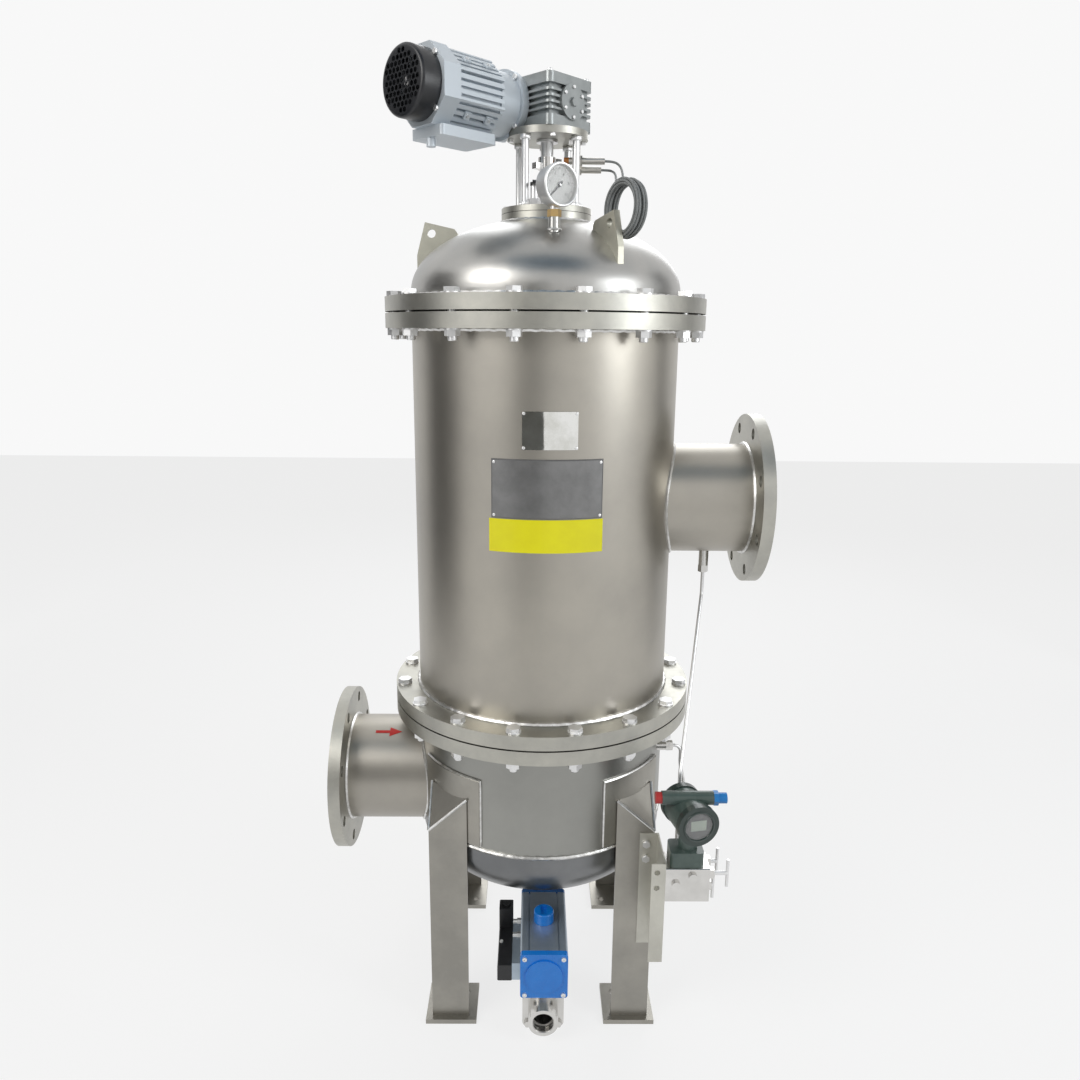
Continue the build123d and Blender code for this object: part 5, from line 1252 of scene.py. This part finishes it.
@dataclass
class Gauge:
    """The pressure gauge on the cover: dial marks, glass and bezel lip."""

    stem: Point = (0.011, -0.176, 1.630)
    turn: float = math.radians(35.0)
    front: float = 0.0195
    recess: float = 0.007
    radius: float = 0.031
    finishes: dict[str, Finish] = field(default_factory=lambda: {
        "gauge_connector": CONNECTOR, "gauge_case": BRIGHT, "gauge_pointer": BLACK_COVER,
    })

    def frame(self, reach: float) -> Matrix:
        """Return the place of a piece on the gauge's axis, its +Z to the viewer and its +Y up."""
        face = Vector((math.sin(self.turn), -math.cos(self.turn), 0.0))
        right = Vector((math.cos(self.turn), math.sin(self.turn), 0.0))
        turn = Matrix((right, Vector((0, 0, 1)), face)).transposed().to_4x4()
        return Matrix.Translation(Vector(self.stem) + face * reach) @ turn

    def build(self) -> None:
        """Make the dial, its marks and numbers, and the glass."""
        dial = Bench.drum(self.radius - 0.0005, 0.0006, (0, 0, 0), sides=64)
        Bench.recess(dial, 0.001, 0.0001)
        Bench.place(dial, self.frame(self.front - self.recess + 0.0003))
        Bench.settle(dial, "gauge_dial", WHITE_DIAL, Slot.WHITE)
        mark = Bench.block((0.0005, 0.0034, 0.0003), (0, 0.0265, 0))
        Bench.soften(mark, 0.0001, 1)
        marks = []
        for step in range(51):
            angle = math.radians(135.0 - 270.0 * step / 50)
            size = Matrix.Diagonal((1.6, 1.0, 1.0, 1.0)) if step % 5 == 0 else Matrix.Diagonal((0.8, 0.96, 1.0, 1.0))
            place = self.frame(self.front - self.recess + 0.0007)
            marks.append(place @ Matrix.Rotation(angle, 4, "Z") @ size)
        Bench.settle(Bench.copies(mark, marks), "gauge_marks", BLACK_COVER, Slot.BLACK)
        self.numbers()
        lip = Bench.ring(self.radius + 0.0022, 0.0022, (0, 0, 0), (0, 0, 1), 72, 10)
        Bench.place(lip, self.frame(self.front))
        Bench.settle(lip, "gauge_lip", BRIGHT, Slot.BRIGHT)
        glass = Bench.drum(self.radius - 0.0003, 0.0015, (0, 0, 0), sides=64)
        Bench.soften(glass, 0.0003, 1)
        Bench.place(glass, self.frame(self.front - 0.0012))
        Bench.settle(glass, "gauge_glass", GlassFinish(), Slot.WHITE)

    def numbers(self) -> None:
        """Set plain numbers round the dial."""
        figures = []
        for step in range(6):
            angle = math.radians(225.0 - 270.0 * step / 5)
            curve = bpy.data.curves.new("number", "FONT")
            curve.body = str(2 * step)
            curve.size = 0.0065
            curve.extrude = 0.00012
            curve.align_x = "CENTER"
            curve.align_y = "CENTER"
            text = bpy.data.objects.new("number", curve)
            bpy.context.collection.objects.link(text)
            Bench.clear()
            text.select_set(True)
            bpy.context.view_layer.objects.active = text
            bpy.ops.object.convert(target="MESH")
            place = self.frame(self.front - self.recess + 0.0007)
            spot = Matrix.Translation((0.0195 * math.cos(angle), 0.0195 * math.sin(angle), 0))
            Bench.place(bpy.context.object, place @ spot)
            figures.append(bpy.context.object)
        Bench.settle(Bench.join(figures), "gauge_numbers", BLACK_COVER, Slot.BLACK)


@dataclass
class Drain:
    """The drain valve with its actuator and solenoid valve."""

    centre: Point = (0.006, -0.215, 0.1835)
    front_y: float = -0.304
    rear_y: float = -0.126
    cap: float = 0.012
    finishes: dict[str, Finish] = field(default_factory=lambda: {
        "drain_pipe": POLISHED, "valve_body": POLISHED, "actuator_body": ANODISED, "actuator_caps": BLUE,
        "solenoid_valve": SOLENOID, "valve_ball": BRIGHT, "position_indicator": BLUE, "piston_front": ANODISED,
        "piston_rear": ANODISED, "override_button": BUTTON_WHITE,
    })

    def build(self) -> None:
        """Dress the drain valve."""
        x, _, z = self.centre
        spots = []
        for y, axis in ((self.front_y - self.cap, (0, -1, 0)), (self.rear_y + self.cap, (0, 1, 0))):
            turn = Vector(axis).to_track_quat("Z", "Y").to_matrix().to_4x4()
            for side in (-0.0375, 0.0375):
                for rise in (-0.040, 0.040):
                    spots.append(Matrix.Translation((x + side, y, z + rise)) @ turn)
        head = Bench.drum(0.0045, 0.004, (0, 0, 0.002), sides=20)
        Bench.recess(head, 0.0018, 0.0018)
        Bench.settle(Bench.copies(head, spots), "cap_screws", BRIGHT, Slot.BRIGHT)
        bead = Bench.ring(0.0245, 0.003, (0.006, -0.1385, 0.052), (0, 1, 0), 48, 6)
        neck = Bench.ring(0.0248, 0.003, (0.006, 0.0, 0.2425), (0, 0, 1), 48, 6)
        Bench.settle(Bench.join([bead, neck]), "drain_welds", WELD, Slot.STAINLESS)
        turns = []
        for turn in range(9):
            turns.append(Bench.ring(0.0222, 0.0008, (0.006, -0.288 + 0.002 * turn, 0.052), (0, 1, 0), 48, 5))
        Bench.settle(Bench.join(turns), "port_thread", POLISHED, Slot.MACHINED)


@dataclass
class Transmitter:
    """The differential pressure transmitter on its bracket, with manifold and tubes."""

    drum: Point = (0.275, -0.285, 0.515)
    turn: float = math.radians(13.0)
    face: float = 0.046
    finishes: dict[str, Finish] = field(default_factory=lambda: {
        "transmitter_bracket": BEIGE, "manifold": POLISHED, "transmitter_housing": HOUSING_GREY,
        "transmitter_covers": GREEN_COVER, "conduit_fittings": CONDUIT_ENDS, "pressure_taps": POLISHED,
        "impulse_tubes": BRIGHT, "handle_high": BRIGHT, "handle_low": BRIGHT, "handle_equalizer": BRIGHT,
    })

    def frame(self, reach: float) -> Matrix:
        """Return the place of a piece on the drum's axis, its +Z to the front and its +Y up."""
        face = Vector((math.sin(self.turn), -math.cos(self.turn), 0.0))
        right = Vector((math.cos(self.turn), math.sin(self.turn), 0.0))
        turn = Matrix((right, Vector((0, 0, 1)), face)).transposed().to_4x4()
        return Matrix.Translation(Vector(self.drum) + face * reach) @ turn

    def build(self) -> None:
        """Dress the transmitter."""
        panel = Bench.drum(0.0255, 0.0010, (0, 0, 0), sides=48)
        Bench.recess(panel, 0.002, 0.0003)
        Bench.place(panel, self.frame(self.face - 0.0022))
        Bench.settle(panel, "display_panel", BLACK_COVER, Slot.BLACK)
        screen = Bench.block((0.030, 0.020, 0.0006), (0, 0.001, 0))
        Bench.soften(screen, 0.0002, 1)
        Bench.place(screen, self.frame(self.face - 0.0016))
        Bench.settle(screen, "display_screen", DISPLAY, Slot.GREEN)
        glass = Bench.drum(0.0262, 0.0010, (0, 0, 0), sides=48)
        Bench.soften(glass, 0.0002, 1)
        Bench.place(glass, self.frame(self.face - 0.0006))
        Bench.settle(glass, "display_glass", GlassFinish(), Slot.WHITE)
        lip = Bench.ring(0.0285, 0.0022, (0, 0, 0), (0, 0, 1), 64, 8)
        Bench.place(lip, self.frame(self.face))
        Bench.settle(lip, "cover_lip", GREEN_COVER, Slot.GREEN)
        turn = Vector((0, -1, 0)).to_track_quat("Z", "Y").to_matrix().to_4x4()
        bolts = [Matrix.Translation((0.206, -0.2245, z)) @ turn for z in (0.381, 0.413)]
        head = Bench.drum(0.0085, 0.006, (0, 0, 0.003), sides=6)
        Bench.soften(head, 0.0008, 1)
        Bench.settle(Bench.copies(head, bolts), "bracket_bolts", BRIGHT, Slot.BRIGHT)


def dress(finishes: dict[str, Finish]) -> None:
    """Give the solids their finishes.

    Args:
        finishes: Finish of each node.
    """
    for node, finish in finishes.items():
        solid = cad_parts[node]
        solid.data.materials.clear()
        solid.data.materials.append(finish.material())
        log.info("node %s: %s", node, finish.name)


def main() -> None:
    """Build the camera, the leads, the dress of each sub-assembly and the studio."""
    logging.basicConfig(level=logging.INFO, format="%(name)s: %(message)s")
    CameraStand().build()
    SensorLeads().build()
    for assembly in (Vessel(), Drive(), Gauge(), Drain(), Transmitter()):
        dress(assembly.finishes)
        assembly.build()
    Studio().build()
    bpy.context.view_layer.update()


if __name__ == "__main__":
    main()
